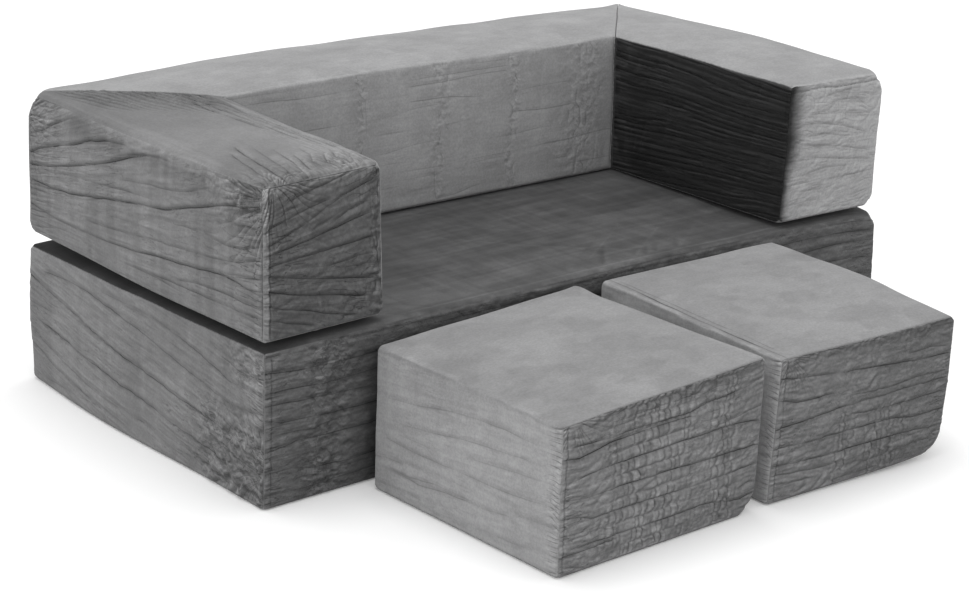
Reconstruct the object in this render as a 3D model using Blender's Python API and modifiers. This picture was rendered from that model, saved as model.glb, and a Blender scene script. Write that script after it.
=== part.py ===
"""A modular foam play sofa of six velvet-covered foam blocks.

A long seat block lies on the floor. A back block and two arm blocks stand on
it in a U, cut at 45 degrees where they meet, and each arm is sewn to the back
along its outer rear corner, so that it folds out. Two loose ottoman blocks
stand in front. Each block is a foam core in a cover with a recessed zip.

Metres, +Z up, -Y is the front, +X is to the right as seen from the front.
The origin is on the floor, at the middle of the seat block's footprint.
"""

import math
from collections import namedtuple

import bmesh
import bpy
from mathutils import Matrix, Vector

# The blocks
SOFA_WIDTH = 1.200
SOFA_DEPTH = 0.640
BASE_HEIGHT = 0.230
BACK_HEIGHT = 0.230
WALL_THICKNESS = 0.215
OTTOMAN_WIDTH = 0.361
OTTOMAN_DEPTH = 0.385
OTTOMAN_HEIGHT = 0.221

# Where the ottomans stand, as the user left them
OTTOMAN_STANDOFF = 0.028
LEFT_OTTOMAN_INSET = 0.170
OTTOMAN_SPACING = 0.047
LEFT_OTTOMAN_TURN = math.radians(0.9)
RIGHT_OTTOMAN_TURN = math.radians(-1.3)

# The soft form of a block
EDGE_RADIUS = 0.012
MITRE_EDGE = 0.006
TOP_CROWN = 0.005
SIDE_CROWN = 0.003
EDGE_SEGMENTS = 2
CUTS_ALONG = 6
CUTS_ACROSS = 3
CUTS_UP = 2

# The covers
COVER_THICKNESS = 0.0015
CLEARANCE = 0.0003

# The zips, let into the cover
SLOT_WIDTH = 0.014
SLOT_DEPTH = 0.005
REAR_ZIP_RISE = 0.045
SEAT_ZIP_END_ROOM = 0.150
BACK_ZIP_END_ROOM = 0.250
ARM_ZIP_END_ROOM = 0.0325
OTTOMAN_ZIP_END_ROOM = 0.040
TAPE_THICKNESS = 0.0008
TEETH_WIDTH = 0.006
TEETH_HEIGHT = 0.0015

# The zip sliders
SLIDER_LENGTH = 0.011
SLIDER_WIDTH = 0.0088
SLIDER_TAIL_WIDTH = 0.0072
SLIDER_PLATE = 0.0009
SLIDER_END_ROOM = 0.005
BRIDGE_LENGTH = 0.006
BRIDGE_WIDTH = 0.0022
BRIDGE_HEIGHT = 0.0017
BRIDGE_HOLE_LENGTH = 0.0034
BRIDGE_HOLE_HEIGHT = 0.0008

# The sewn hinges
HINGE_ARC_STEPS = 4

# How far a cutter runs past what it cuts
OVERRUN = 0.004

# Points this near each other are one, and directions with this cosine are alike
MERGE_DISTANCE = 0.00003
ALIKE = 0.999

# The corners of a block's plan, by the signs of x and y, and its sides
CORNERS = {(-1, -1): 0, (1, -1): 1, (1, 1): 2, (-1, 1): 3}
FRONT, RIGHT, REAR, LEFT = range(4)
BOTTOM, TOP = 4, 5

VELVET = (0.105, 0.106, 0.109)
FOAM = (0.72, 0.70, 0.62)
TAPE = (0.045, 0.046, 0.048)
SLIDER_METAL = (0.33, 0.33, 0.34)
SEAM = (0.085, 0.086, 0.089)

Block = namedtuple("Block", "name outline height mitres zip_side zip_length zip_place flat")


def clear_scene():
    for old in list(bpy.data.objects):
        bpy.data.objects.remove(old, do_unlink=True)


def collection(name):
    made = bpy.data.collections.new(name)
    bpy.context.scene.collection.children.link(made)
    return made


def material(name, colour, roughness, metallic=0.0):
    made = bpy.data.materials.new(name)
    made.use_nodes = True
    shader = made.node_tree.nodes["Principled BSDF"]
    shader.inputs["Base Color"].default_value = (*colour, 1.0)
    shader.inputs["Roughness"].default_value = roughness
    shader.inputs["Metallic"].default_value = metallic
    return made


def place(name, mesh, group, finish, parent=None):
    """A named object with its own copy of a finish, under a parent."""
    made = bpy.data.objects.new(name, mesh)
    group.objects.link(made)
    made.parent = parent
    if finish:
        own = finish.copy()
        own.name = name
        mesh.materials.clear()
        mesh.materials.append(own)
    return made


def anchor(name, group, location, turn=0.0, parent=None):
    made = bpy.data.objects.new(name, None)
    made.location = location
    made.rotation_euler = (0.0, 0.0, turn)
    made.parent = parent
    group.objects.link(made)
    return made


def to_mesh(name, bm):
    mesh = bpy.data.meshes.new(name)
    bm.to_mesh(mesh)
    bm.free()
    return mesh


def rectangle(width, depth):
    """A plan with its rear left corner at the origin, from the front left round."""
    return [
        Vector((0.0, -depth)),
        Vector((width, -depth)),
        Vector((width, 0.0)),
        Vector((0.0, 0.0)),
    ]


def inset_outline(outline, distance):
    """The plan with each side moved in by the same distance."""
    sides = []
    for i, start in enumerate(outline):
        along = (outline[(i + 1) % len(outline)] - start).normalized()
        inward = Vector((-along.y, along.x))
        sides.append((start + inward * distance, along))
    corners = []
    for i, (point, along) in enumerate(sides):
        before, before_along = sides[i - 1]
        cross = before_along.x * along.y - before_along.y * along.x
        apart = point - before
        share = (apart.x * along.y - apart.y * along.x) / cross
        corners.append(before + before_along * share)
    return corners


def bevelled_prism(block, inset):
    """The block as a box whose corners lie on its plan, with rounded edges."""
    outline = inset_outline(block.outline, inset)
    bm = bmesh.new()
    bmesh.ops.create_cube(bm, size=1.0)
    for vert in bm.verts:
        signs = (1 if vert.co.x > 0 else -1, 1 if vert.co.y > 0 else -1)
        corner = outline[CORNERS[signs]]
        rise = block.height - inset if vert.co.z > 0 else inset
        vert.co = (corner.x, corner.y, rise)
    bm.normal_update()
    weight = bm.edges.layers.float.new("bevel_weight_edge")
    mitre_normals = [side_normal(block, side) for side in block.mitres]
    for edge in bm.edges:
        on_mitre = any(face.normal.dot(n) > ALIKE for face in edge.link_faces for n in mitre_normals)
        edge[weight] = (MITRE_EDGE if on_mitre else EDGE_RADIUS - inset) / EDGE_RADIUS
    solid = bpy.data.objects.new(block.name, to_mesh(block.name, bm))
    bpy.context.scene.collection.objects.link(solid)
    bevel = solid.modifiers.new("Rounded edges", "BEVEL")
    bevel.width = EDGE_RADIUS
    bevel.segments = EDGE_SEGMENTS
    bevel.limit_method = "WEIGHT"
    bevel.use_clamp_overlap = False
    graph = bpy.context.evaluated_depsgraph_get()
    mesh = bpy.data.meshes.new_from_object(solid.evaluated_get(graph))
    bpy.data.objects.remove(solid)
    rounded = bmesh.new()
    rounded.from_mesh(mesh)
    bpy.data.meshes.remove(mesh)
    return rounded


def side_normal(block, side):
    """The outward direction of one of the block's faces."""
    if side == TOP:
        return Vector((0.0, 0.0, 1.0))
    if side == BOTTOM:
        return Vector((0.0, 0.0, -1.0))
    along = block.outline[(side + 1) % len(block.outline)] - block.outline[side]
    return Vector((along.y, -along.x, 0.0)).normalized()


def crown_of(block, side):
    if side in block.flat or side in block.mitres or side in (BOTTOM, block.zip_side):
        return 0.0
    return TOP_CROWN if side == TOP else SIDE_CROWN


def flat_panels(block, bm):
    """The large flat faces, each with its outward direction, corners and crown."""
    bm.normal_update()
    panels = []
    for side in (FRONT, RIGHT, REAR, LEFT, BOTTOM, TOP):
        normal = side_normal(block, side)
        facing = [face for face in bm.faces if face.normal.dot(normal) > ALIKE]
        panel = max(facing, key=lambda face: face.calc_area())
        panels.append((normal, [vert.co.copy() for vert in panel.verts], crown_of(block, side)))
    return panels


def hump(point, corners, normal):
    """One at the middle of a four-sided panel, falling to zero at its edges."""
    distances = []
    for i, start in enumerate(corners):
        along = (corners[(i + 1) % len(corners)] - start).normalized()
        distances.append((point - start).dot(normal.cross(along)))
    height = 1.0
    for one, other in ((0, 2), (1, 3)):
        near, far = max(distances[one], 0.0), max(distances[other], 0.0)
        height *= 4 * near * far / (near + far) ** 2
    return height


def split_grid(block, bm):
    """Divides the large panels along, up and across the block, so that they can swell."""
    plan = block.outline
    sides = [plan[i] - plan[i - 1] for i in range(len(plan))]
    long_way = max(sides, key=lambda side: side.length).normalized().to_3d()
    upwards = Vector((0.0, 0.0, 1.0))

    def runs(way, direction):
        return abs(way.dot(direction)) > ALIKE

    chosen = (
        (CUTS_ALONG, lambda way: runs(way, long_way)),
        (CUTS_UP, lambda way: runs(way, upwards)),
        (CUTS_ACROSS, lambda way: not runs(way, long_way) and not runs(way, upwards)),
    )
    for cuts, wanted in chosen:
        edges = []
        for edge in bm.edges:
            span = edge.verts[1].co - edge.verts[0].co
            if span.length > 2 * EDGE_RADIUS and wanted(span.normalized()):
                edges.append(edge)
        bmesh.ops.subdivide_edges(bm, edges=edges, cuts=cuts, use_grid_fill=True)


def zip_frame(block):
    """The middle of the zip's slot, its way along, across and out of the block."""
    out = side_normal(block, block.zip_side)
    along = Vector((0.0, 1.0, 0.0)) if block.zip_side == BOTTOM else Vector((-1.0, 0.0, 0.0))
    return Vector(block.zip_place), along, out.cross(along), out


def zip_matrix(block):
    middle, along, across, out = zip_frame(block)
    return Matrix.Translation(middle) @ Matrix((along, across, out)).transposed().to_4x4()


def swell(block, bm, panels):
    for vert in bm.verts:
        for normal, corners, crown in panels:
            on_panel = abs((vert.co - corners[0]).dot(normal)) < MERGE_DISTANCE
            if crown and on_panel:
                vert.co += normal * crown * hump(vert.co, corners, normal)
                break


def split_at_slot(block, bm):
    """Cuts the outline of the zip's slot into the surface."""
    middle, along, across, _ = zip_frame(block)
    for way, half in ((along, block.zip_length / 2), (across, SLOT_WIDTH / 2)):
        for side in (-half, half):
            geometry = bm.verts[:] + bm.edges[:] + bm.faces[:]
            bmesh.ops.bisect_plane(
                bm, geom=geometry, plane_co=middle + way * side, plane_no=way, dist=MERGE_DISTANCE
            )


def soft_form(block, inset=0.0):
    """The block's rounded and crowned surface, or one that lies inside it."""
    bm = bevelled_prism(block, inset)
    panels = flat_panels(block, bm)
    split_grid(block, bm)
    split_at_slot(block, bm)
    swell(block, bm, panels)
    bmesh.ops.triangulate(bm, faces=bm.faces[:], quad_method="FIXED")
    return bm


def cut_slot(block, bm):
    """Opens the zip's slot in the cover and turns its edges in."""
    middle, along, across, out = zip_frame(block)
    inside = []
    for face in bm.faces:
        away = face.calc_center_median() - middle
        in_slot = abs(away.dot(along)) < block.zip_length / 2 and abs(away.dot(across)) < SLOT_WIDTH / 2
        if in_slot and abs(away.dot(out)) < EDGE_RADIUS:
            inside.append(face)
    bmesh.ops.delete(bm, geom=inside, context="FACES")
    rim = [edge for edge in bm.edges if edge.is_boundary]
    turned = bmesh.ops.extrude_edge_only(bm, edges=rim)["geom"]
    for item in turned:
        if isinstance(item, bmesh.types.BMVert):
            item.co -= out * SLOT_DEPTH


def make_cover(block, group, finish, parent):
    """An open skin with a turned-in slot, given its thickness inwards."""
    bm = soft_form(block)
    cut_slot(block, bm)
    cover = place(f"{block.name}_cover", to_mesh(block.name, bm), group, finish, parent)
    skin = cover.modifiers.new("Fabric", "SOLIDIFY")
    skin.thickness = COVER_THICKNESS
    skin.offset = -1.0
    skin.solidify_mode = "NON_MANIFOLD"
    skin.nonmanifold_thickness_mode = "CONSTRAINTS"
    return cover


def box_mesh(name, size, centre, matrix=None):
    bm = bmesh.new()
    bmesh.ops.create_cube(bm, size=1.0)
    bm.transform(Matrix.Translation(centre) @ Matrix.Diagonal(size).to_4x4())
    if matrix:
        bm.transform(matrix)
    return to_mesh(name, bm)


def cut(target, cutter, operation="DIFFERENCE"):
    boolean = target.modifiers.new(cutter.name, "BOOLEAN")
    boolean.operation = operation
    boolean.object = cutter


def cutter(name, mesh, group, parent):
    made = place(name, mesh, group, None, parent)
    made.hide_render = True
    made.display_type = "WIRE"
    return made


def make_core(block, groups, finish, parent):
    """The foam, a clearance inside the cover, with a groove behind the zip."""
    core = place(
        f"{block.name}_foam",
        to_mesh(block.name, soft_form(block, COVER_THICKNESS + CLEARANCE)),
        groups["parts"],
        finish,
        parent,
    )
    side_room = COVER_THICKNESS + CLEARANCE
    depth = SLOT_DEPTH + 2 * CLEARANCE + TAPE_THICKNESS
    size = (
        block.zip_length + 2 * side_room,
        SLOT_WIDTH + 2 * side_room,
        depth + OVERRUN,
    )
    centre = (0.0, 0.0, (OVERRUN - depth) / 2)
    groove = box_mesh("groove", size, centre, zip_matrix(block))
    cut(core, cutter(f"{block.name}_zip_groove", groove, groups["cutters"], parent))
    return core


def tape_top():
    """How far the zip tape's face lies from the block's face."""
    return -SLOT_DEPTH - CLEARANCE


def make_zip(block, groups, finish, parent):
    """The closed zip: a tape that bears on the slot's turned edges, and a row of teeth."""
    half_tape = SLOT_WIDTH / 2 + COVER_THICKNESS
    half_teeth = TEETH_WIDTH / 2
    back = tape_top() - TAPE_THICKNESS
    ridge = tape_top() + TEETH_HEIGHT
    slope = TEETH_HEIGHT / 2
    profile = [
        (-half_tape, back),
        (half_tape, back),
        (half_tape, tape_top()),
        (half_teeth, tape_top()),
        (half_teeth, ridge - slope),
        (half_teeth - slope, ridge),
        (slope - half_teeth, ridge),
        (-half_teeth, ridge - slope),
        (-half_teeth, tape_top()),
        (-half_tape, tape_top()),
    ]
    upright = Matrix(((0, 0, 1), (1, 0, 0), (0, 1, 0))).to_4x4()
    length = block.zip_length - 2 * CLEARANCE
    mesh = extruded_outline("zip", profile, length, zip_matrix(block) @ upright)
    return place(f"{block.name}_zip", mesh, groups["parts"], finish, parent)


def extruded_outline(name, points, length, matrix):
    """A flat outline drawn as a curve and extruded both ways from its plane."""
    curve = bpy.data.curves.new(name, "CURVE")
    curve.dimensions = "2D"
    curve.fill_mode = "BOTH"
    curve.extrude = length / 2
    line = curve.splines.new("POLY")
    line.points.add(len(points) - 1)
    for point, place_at in zip(line.points, points):
        point.co = (*place_at, 0.0, 1.0)
    line.use_cyclic_u = True
    guide = bpy.data.objects.new(name, curve)
    bpy.context.scene.collection.objects.link(guide)
    graph = bpy.context.evaluated_depsgraph_get()
    mesh = bpy.data.meshes.new_from_object(guide.evaluated_get(graph))
    bpy.data.objects.remove(guide)
    bm = bmesh.new()
    bm.from_mesh(mesh)
    bmesh.ops.remove_doubles(bm, verts=bm.verts, dist=MERGE_DISTANCE)
    bmesh.ops.recalc_face_normals(bm, faces=bm.faces)
    bm.transform(matrix)
    bm.to_mesh(mesh)
    bm.free()
    return mesh


def make_slider(block, groups, finish, parent):
    """A child-safe slider with no tab: a tapered body astride the teeth, and a low bridge."""
    foot = tape_top() + CLEARANCE
    roof = tape_top() + TEETH_HEIGHT + CLEARANCE
    crest = roof + SLIDER_PLATE
    start = block.zip_length / 2 - SLIDER_END_ROOM - SLIDER_LENGTH / 2
    origin = anchor(f"{block.name}_slider_at", groups["parts"], (0, 0, 0), 0.0, parent)
    origin.matrix_basis = zip_matrix(block) @ Matrix.Translation((start, 0.0, 0.0))
    corner = SLIDER_PLATE
    half_length, half_nose, half_tail = SLIDER_LENGTH / 2, SLIDER_WIDTH / 2, SLIDER_TAIL_WIDTH / 2
    outline = [
        (-half_length, corner - half_tail),
        (corner - half_length, -half_tail),
        (0.0, -half_nose),
        (half_length - corner, -half_nose),
        (half_length, corner - half_nose),
        (half_length, half_nose - corner),
        (half_length - corner, half_nose),
        (0.0, half_nose),
        (corner - half_length, half_tail),
        (-half_length, half_tail - corner),
    ]
    lift = Matrix.Translation((0.0, 0.0, (foot + crest) / 2))
    body = extruded_outline("slider", outline, crest - foot, lift)
    slider = place(f"{block.name}_zip_slider", body, groups["parts"], finish, origin)
    bridge = box_mesh(
        "bridge",
        (BRIDGE_LENGTH, BRIDGE_WIDTH, BRIDGE_HEIGHT + SLIDER_PLATE / 2),
        (0.0, 0.0, crest + (BRIDGE_HEIGHT - SLIDER_PLATE / 2) / 2),
    )
    hole = box_mesh(
        "hole",
        (BRIDGE_HOLE_LENGTH, BRIDGE_WIDTH + OVERRUN, BRIDGE_HOLE_HEIGHT),
        (0.0, 0.0, crest + BRIDGE_HOLE_HEIGHT / 2),
    )
    channel = box_mesh(
        "channel",
        (SLIDER_LENGTH + OVERRUN, TEETH_WIDTH + 2 * CLEARANCE, roof - foot + OVERRUN),
        (0.0, 0.0, (roof + foot - OVERRUN) / 2),
    )
    cut(slider, cutter(f"{block.name}_slider_bridge", bridge, groups["cutters"], origin), "UNION")
    cut(slider, cutter(f"{block.name}_slider_hole", hole, groups["cutters"], origin))
    cut(slider, cutter(f"{block.name}_slider_channel", channel, groups["cutters"], origin))
    return slider


def hinge_seam_radius():
    """What fits on the hinge's axis between the two rounded 45-degree corners."""
    corner_setback = MITRE_EDGE * (2 - math.sqrt(2)) * math.cos(math.pi / 8)
    return corner_setback - CLEARANCE


def make_hinge_seam(name, groups, finish, parent, corner, towards):
    """The quarter-round of gathered fabric that sews an arm to the back's corner."""
    radius = hinge_seam_radius()
    points = [(0.0, 0.0)]
    for step in range(HINGE_ARC_STEPS + 1):
        angle = -math.pi / 2 * step / HINGE_ARC_STEPS
        points.append((radius * math.cos(angle) * towards, radius * math.sin(angle)))
    length = BACK_HEIGHT - 2 * EDGE_RADIUS
    lift = Matrix.Translation((corner[0], corner[1], BACK_HEIGHT / 2))
    mesh = extruded_outline("hinge seam", points, length, lift)
    return place(name, mesh, groups["parts"], finish, parent)


def make_block(block, groups, finishes, parent):
    make_core(block, groups, finishes["foam"], parent)
    make_cover(block, groups["parts"], finishes["velvet"], parent)
    make_zip(block, groups, finishes["tape"], parent)
    make_slider(block, groups, finishes["metal"], parent)


def mitre_setback():
    """How far a mitred end is moved along its block, to leave the clearance at the joint."""
    return CLEARANCE / 2 * math.sqrt(2)


def base_block():
    outline = [corner - Vector((SOFA_WIDTH / 2, 0.0)) for corner in rectangle(SOFA_WIDTH, SOFA_DEPTH)]
    zip_length = SOFA_WIDTH - 2 * SEAT_ZIP_END_ROOM
    return Block("seat", outline, BASE_HEIGHT, (), REAR, zip_length, (0.0, 0.0, REAR_ZIP_RISE), (TOP,))


def back_block():
    half = SOFA_WIDTH / 2 - mitre_setback()
    inner = half - WALL_THICKNESS
    outline = [
        Vector((-inner, -WALL_THICKNESS)),
        Vector((inner, -WALL_THICKNESS)),
        Vector((half, 0.0)),
        Vector((-half, 0.0)),
    ]
    zip_length = SOFA_WIDTH - 2 * BACK_ZIP_END_ROOM
    place_at = (0.0, 0.0, REAR_ZIP_RISE)
    return Block("back", outline, BACK_HEIGHT, (RIGHT, LEFT), REAR, zip_length, place_at, ())


def arm_block(name, hand):
    """An arm with its hinge corner at the origin; hand is 1 on the left and -1 on the right."""
    rear = -mitre_setback()
    outer_front = Vector((0.0, -SOFA_DEPTH))
    inner_front = Vector((hand * WALL_THICKNESS, -SOFA_DEPTH))
    inner_rear = Vector((hand * WALL_THICKNESS, rear - WALL_THICKNESS))
    outer_rear = Vector((0.0, rear))
    if hand > 0:
        outline = [outer_front, inner_front, inner_rear, outer_rear]
    else:
        outline = [inner_front, outer_front, outer_rear, inner_rear]
    zip_length = SOFA_DEPTH - WALL_THICKNESS - 2 * ARM_ZIP_END_ROOM
    middle = -(SOFA_DEPTH + WALL_THICKNESS) / 2
    place_at = (hand * WALL_THICKNESS / 2, middle, 0.0)
    return Block(name, outline, BACK_HEIGHT, (REAR,), BOTTOM, zip_length, place_at, ())


def ottoman_block(name):
    outline = rectangle(OTTOMAN_WIDTH, OTTOMAN_DEPTH)
    zip_length = OTTOMAN_WIDTH - 2 * OTTOMAN_ZIP_END_ROOM
    place_at = (OTTOMAN_WIDTH / 2, 0.0, REAR_ZIP_RISE)
    return Block(name, outline, OTTOMAN_HEIGHT, (), REAR, zip_length, place_at, ())


def build():
    clear_scene()
    groups = {"parts": collection("foam_play_sofa"), "cutters": collection("cutters")}
    finishes = {
        "velvet": material("velvet", VELVET, 0.9),
        "foam": material("foam", FOAM, 0.95),
        "tape": material("zip tape", TAPE, 0.85),
        "metal": material("slider metal", SLIDER_METAL, 0.4, 1.0),
        "seam": material("seam", SEAM, 0.9),
    }
    parts = groups["parts"]
    rear = SOFA_DEPTH / 2
    half = SOFA_WIDTH / 2

    seat_at = anchor("seat_at", parts, (0.0, rear, 0.0))
    make_block(base_block(), groups, finishes, seat_at)

    back_at = anchor("backrest_at", parts, (0.0, 0.0, BASE_HEIGHT + CLEARANCE), 0.0, seat_at)
    make_block(back_block(), groups, finishes, back_at)
    for name, hand in (("left", 1), ("right", -1)):
        corner = (-hand * half, 0.0, 0.0)
        make_hinge_seam(f"{name}_hinge_seam", groups, finishes["seam"], back_at, corner, hand)
        hinge = anchor(f"{name}_arm_hinge", parts, corner, 0.0, back_at)
        make_block(arm_block(f"{name}_arm", hand), groups, finishes, hinge)

    front = -rear - OTTOMAN_STANDOFF
    left = LEFT_OTTOMAN_INSET - half
    right = left + OTTOMAN_WIDTH + OTTOMAN_SPACING
    stands = (
        ("left_ottoman", left, LEFT_OTTOMAN_TURN),
        ("right_ottoman", right, RIGHT_OTTOMAN_TURN),
    )
    for name, x, turn in stands:
        stand = anchor(f"{name}_at", parts, (x, front, 0.0), turn)
        make_block(ottoman_block(name), groups, finishes, stand)


build()
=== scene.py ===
"""The foam play sofa as it looks: six velvet covered blocks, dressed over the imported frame."""
import copy
import math

import bmesh
import bpy
import numpy as np
from mathutils import Matrix, Vector


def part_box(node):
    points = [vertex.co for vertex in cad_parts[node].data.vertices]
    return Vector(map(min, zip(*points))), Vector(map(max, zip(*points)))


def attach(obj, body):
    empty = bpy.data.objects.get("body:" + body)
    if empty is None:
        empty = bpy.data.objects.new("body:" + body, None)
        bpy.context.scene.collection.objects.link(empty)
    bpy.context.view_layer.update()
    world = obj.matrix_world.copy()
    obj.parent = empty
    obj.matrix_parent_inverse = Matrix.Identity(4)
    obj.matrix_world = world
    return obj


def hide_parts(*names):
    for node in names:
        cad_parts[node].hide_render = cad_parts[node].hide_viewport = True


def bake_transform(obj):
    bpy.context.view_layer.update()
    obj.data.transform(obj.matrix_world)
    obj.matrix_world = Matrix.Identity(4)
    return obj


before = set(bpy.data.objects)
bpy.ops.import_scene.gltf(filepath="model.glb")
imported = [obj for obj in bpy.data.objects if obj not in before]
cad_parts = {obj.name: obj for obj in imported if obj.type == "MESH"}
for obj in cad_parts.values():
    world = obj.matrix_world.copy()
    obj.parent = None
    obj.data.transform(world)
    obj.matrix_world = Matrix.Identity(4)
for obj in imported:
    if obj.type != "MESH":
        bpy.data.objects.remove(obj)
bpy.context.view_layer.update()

# ------------------------------------------------------------------ studio
# The sofa stands on a white studio sweep. One large soft lamp hangs high on the left, and the
# white room fills the rest. The floor shows white to the camera and keeps the sofa's shadow.

EYE = (-2.2505, -2.8464, 1.3232)
EYE_AZIMUTH, EYE_ELEVATION, EYE_ROLL = (math.radians(angle) for angle in (-38.828, 18.768, 1.103))
LENS, FILM = 88.52, 36.0
NEAREST_SEEN, FARTHEST_SEEN = 0.05, 60

camera = bpy.data.objects.new("studio_camera", bpy.data.cameras.new("studio_camera"))
camera.data.lens, camera.data.sensor_width, camera.data.sensor_fit = LENS, FILM, "HORIZONTAL"
camera.data.clip_start, camera.data.clip_end = NEAREST_SEEN, FARTHEST_SEEN
aim = Matrix.Rotation(EYE_AZIMUTH, 4, "Z") @ Matrix.Rotation(math.pi / 2 - EYE_ELEVATION, 4, "X")
camera.matrix_world = Matrix.Translation(EYE) @ aim @ Matrix.Rotation(EYE_ROLL, 4, "Z")
bpy.context.scene.collection.objects.link(camera)
bpy.context.scene.camera = camera
bpy.context.scene.view_settings.view_transform = "Standard"


def node_of(tree, kind, inputs=None, **settings):
    """Adds one shader node, with its settings and its unlinked inputs."""
    node = tree.nodes.new(kind)
    for key, value in settings.items():
        setattr(node, key, value)
    for key, value in (inputs or {}).items():
        node.inputs[key].default_value = value
    return node


def join(tree, *wires):
    """Joins sockets: each wire runs from an output to an input."""
    for start, end in wires:
        tree.links.new(start, end)


def bare_tree(owner):
    """The node tree of a new world or material, emptied."""
    owner.use_nodes = True
    owner.node_tree.nodes.clear()
    return owner.node_tree


ROOM_LIGHT = {"Color": (1, 1, 1, 1), "Strength": 1.0}

room = bpy.data.worlds.new("white_room")
room_tree = bare_tree(room)
join(room_tree, (node_of(room_tree, "ShaderNodeBackground", ROOM_LIGHT).outputs[0],
                 node_of(room_tree, "ShaderNodeOutputWorld").inputs["Surface"]))
bpy.context.scene.world = room

LAMP_PLACE, LAMP_TARGET = Vector((-0.3, -0.1, 3.7)), Vector((0, -0.1, 0.2))
LAMP_SIZE, LAMP_POWER = 1.6, 38

soft_box = bpy.data.lights.new("key_lamp", "AREA")
soft_box.shape, soft_box.size, soft_box.energy = "SQUARE", LAMP_SIZE, LAMP_POWER
lamp = bpy.data.objects.new("key_lamp", soft_box)
lamp.location = LAMP_PLACE
lamp.rotation_euler = (LAMP_TARGET - LAMP_PLACE).to_track_quat("-Z", "Y").to_euler()
bpy.context.scene.collection.objects.link(lamp)

FLOOR_REACH, FLOOR_DROP = 9, 0.0006
FLOOR_SHADE, FLOOR_SHADE_SEEN, FLOOR_LIFT = 0.86, 0.92, 0.12


def mesh_from(form, name):
    """Ends a form's shaping and hands back its mesh."""
    mesh = bpy.data.meshes.new(name)
    form.to_mesh(mesh)
    form.free()
    return mesh


def studio_floor():
    """The sweep: a pale sheet that reads white where nothing shades it."""
    form = bmesh.new()
    bmesh.ops.create_grid(form, x_segments=1, y_segments=1, size=FLOOR_REACH)
    mesh = mesh_from(form, "studio_floor")
    mesh.transform(Matrix.Translation((0, 0, -FLOOR_DROP)))
    floor = bpy.data.objects.new("studio_floor", mesh)
    bpy.context.scene.collection.objects.link(floor)
    paint = bpy.data.materials.new("studio_white")
    tree = bare_tree(paint)
    seen = node_of(tree, "ShaderNodeLightPath").outputs["Is Camera Ray"]
    lift = node_of(tree, "ShaderNodeMath", {1: FLOOR_LIFT}, operation="MULTIPLY")
    pale = node_of(tree, "ShaderNodeMapRange", {"To Min": FLOOR_SHADE, "To Max": FLOOR_SHADE_SEEN})
    matt = node_of(tree, "ShaderNodeBsdfDiffuse")
    glow = node_of(tree, "ShaderNodeEmission", {"Color": (1, 1, 1, 1)})
    both = node_of(tree, "ShaderNodeAddShader")
    join(tree, (seen, lift.inputs[0]), (seen, pale.inputs["Value"]),
         (pale.outputs["Result"], matt.inputs["Color"]), (lift.outputs[0], glow.inputs["Strength"]),
         (matt.outputs[0], both.inputs[0]), (glow.outputs[0], both.inputs[1]),
         (both.outputs[0], node_of(tree, "ShaderNodeOutputMaterial").inputs["Surface"]))
    mesh.materials.append(paint)


studio_floor()

# -------------------------------------------------------------- seat block
# The seat is one long foam block in a sewn velvet cover. Six flat panels meet in seams along
# the edges; the foam fills them tight, and the loose nap creases where the panels are pulled.

EDGE_ROUND, MITRE_ROUND, EDGE_STEPS = 0.005, 0.0018, 2
CLOTH_STEP, SHORTEST_CUT = 0.014, 0.05
UPRIGHT, PARALLEL, ON_PLANE = 0.9, 0.9995, 1e-5


class Block:
    """One foam block: its plan from the front left corner round, its height, and how it is sewn."""

    step = CLOTH_STEP
    crown, ends = 0.0, {}
    mitres = soft = quiet = fine = folded = tugs = ()
    swell, looks, naps, shifts = {}, {}, {}, {}
    slot = None
    reach = (1, 1, 1)

    def __init__(self, name, plan, floor, top, **sewing):
        self.name, self.plan, self.floor, self.top = name, plan, floor, top
        self.body = name
        self.__dict__.update(sewing)

    def panels(self):
        """The six panels: lower left corner seen from outside, its two ways, the way it faces, its size."""
        panels = {}
        for at, side in enumerate(SIDES):
            start, out = mitre_line(self.plan, side)
            end = self.plan[(at + 1) % 4]
            span = np.array((end[0] - start[0], end[1] - start[1], 0.0))
            panels[side] = (np.array((*start, self.floor)), span / np.linalg.norm(span), np.array((0, 0, 1.0)),
                            np.array((*out, 0.0)))
        along, inward = panels["front"][1], -panels["front"][3]
        for side, level, up in (("top", self.top, 1.0), ("bottom", self.floor, -1.0)):
            panels[side] = (np.array((*self.plan[0], level)), along, inward, np.array((0, 0, up)))
        return panels

    def reaches(self, points):
        """How far each point lies past each panel's plane, outwards."""
        return np.stack([(points - corner) @ out for corner, _, _, out in self.panels().values()])


def evaluated(piece):
    """The piece's mesh with its modifiers applied, as new mesh data."""
    bpy.context.view_layer.update()
    return bpy.data.meshes.new_from_object(piece.evaluated_get(bpy.context.evaluated_depsgraph_get()))


def applied(piece):
    """Applies every modifier on the piece."""
    mesh = evaluated(piece)
    piece.modifiers.clear()
    old, piece.data = piece.data, mesh
    bpy.data.meshes.remove(old)
    return piece


def add_piece(name, mesh):
    """Puts a finished mesh in the scene under its piece's name."""
    mesh.name = name
    piece = bpy.data.objects.new(name, mesh)
    bpy.context.scene.collection.objects.link(piece)
    return piece


def points_of(mesh):
    """The mesh's points as an array."""
    flat = np.empty(len(mesh.vertices) * 3)
    mesh.vertices.foreach_get("co", flat)
    return flat.reshape(-1, 3)


def move_points(mesh, points):
    """Puts the mesh's points at new places."""
    mesh.vertices.foreach_set("co", np.ascontiguousarray(points, float).ravel())
    mesh.update()


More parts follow.
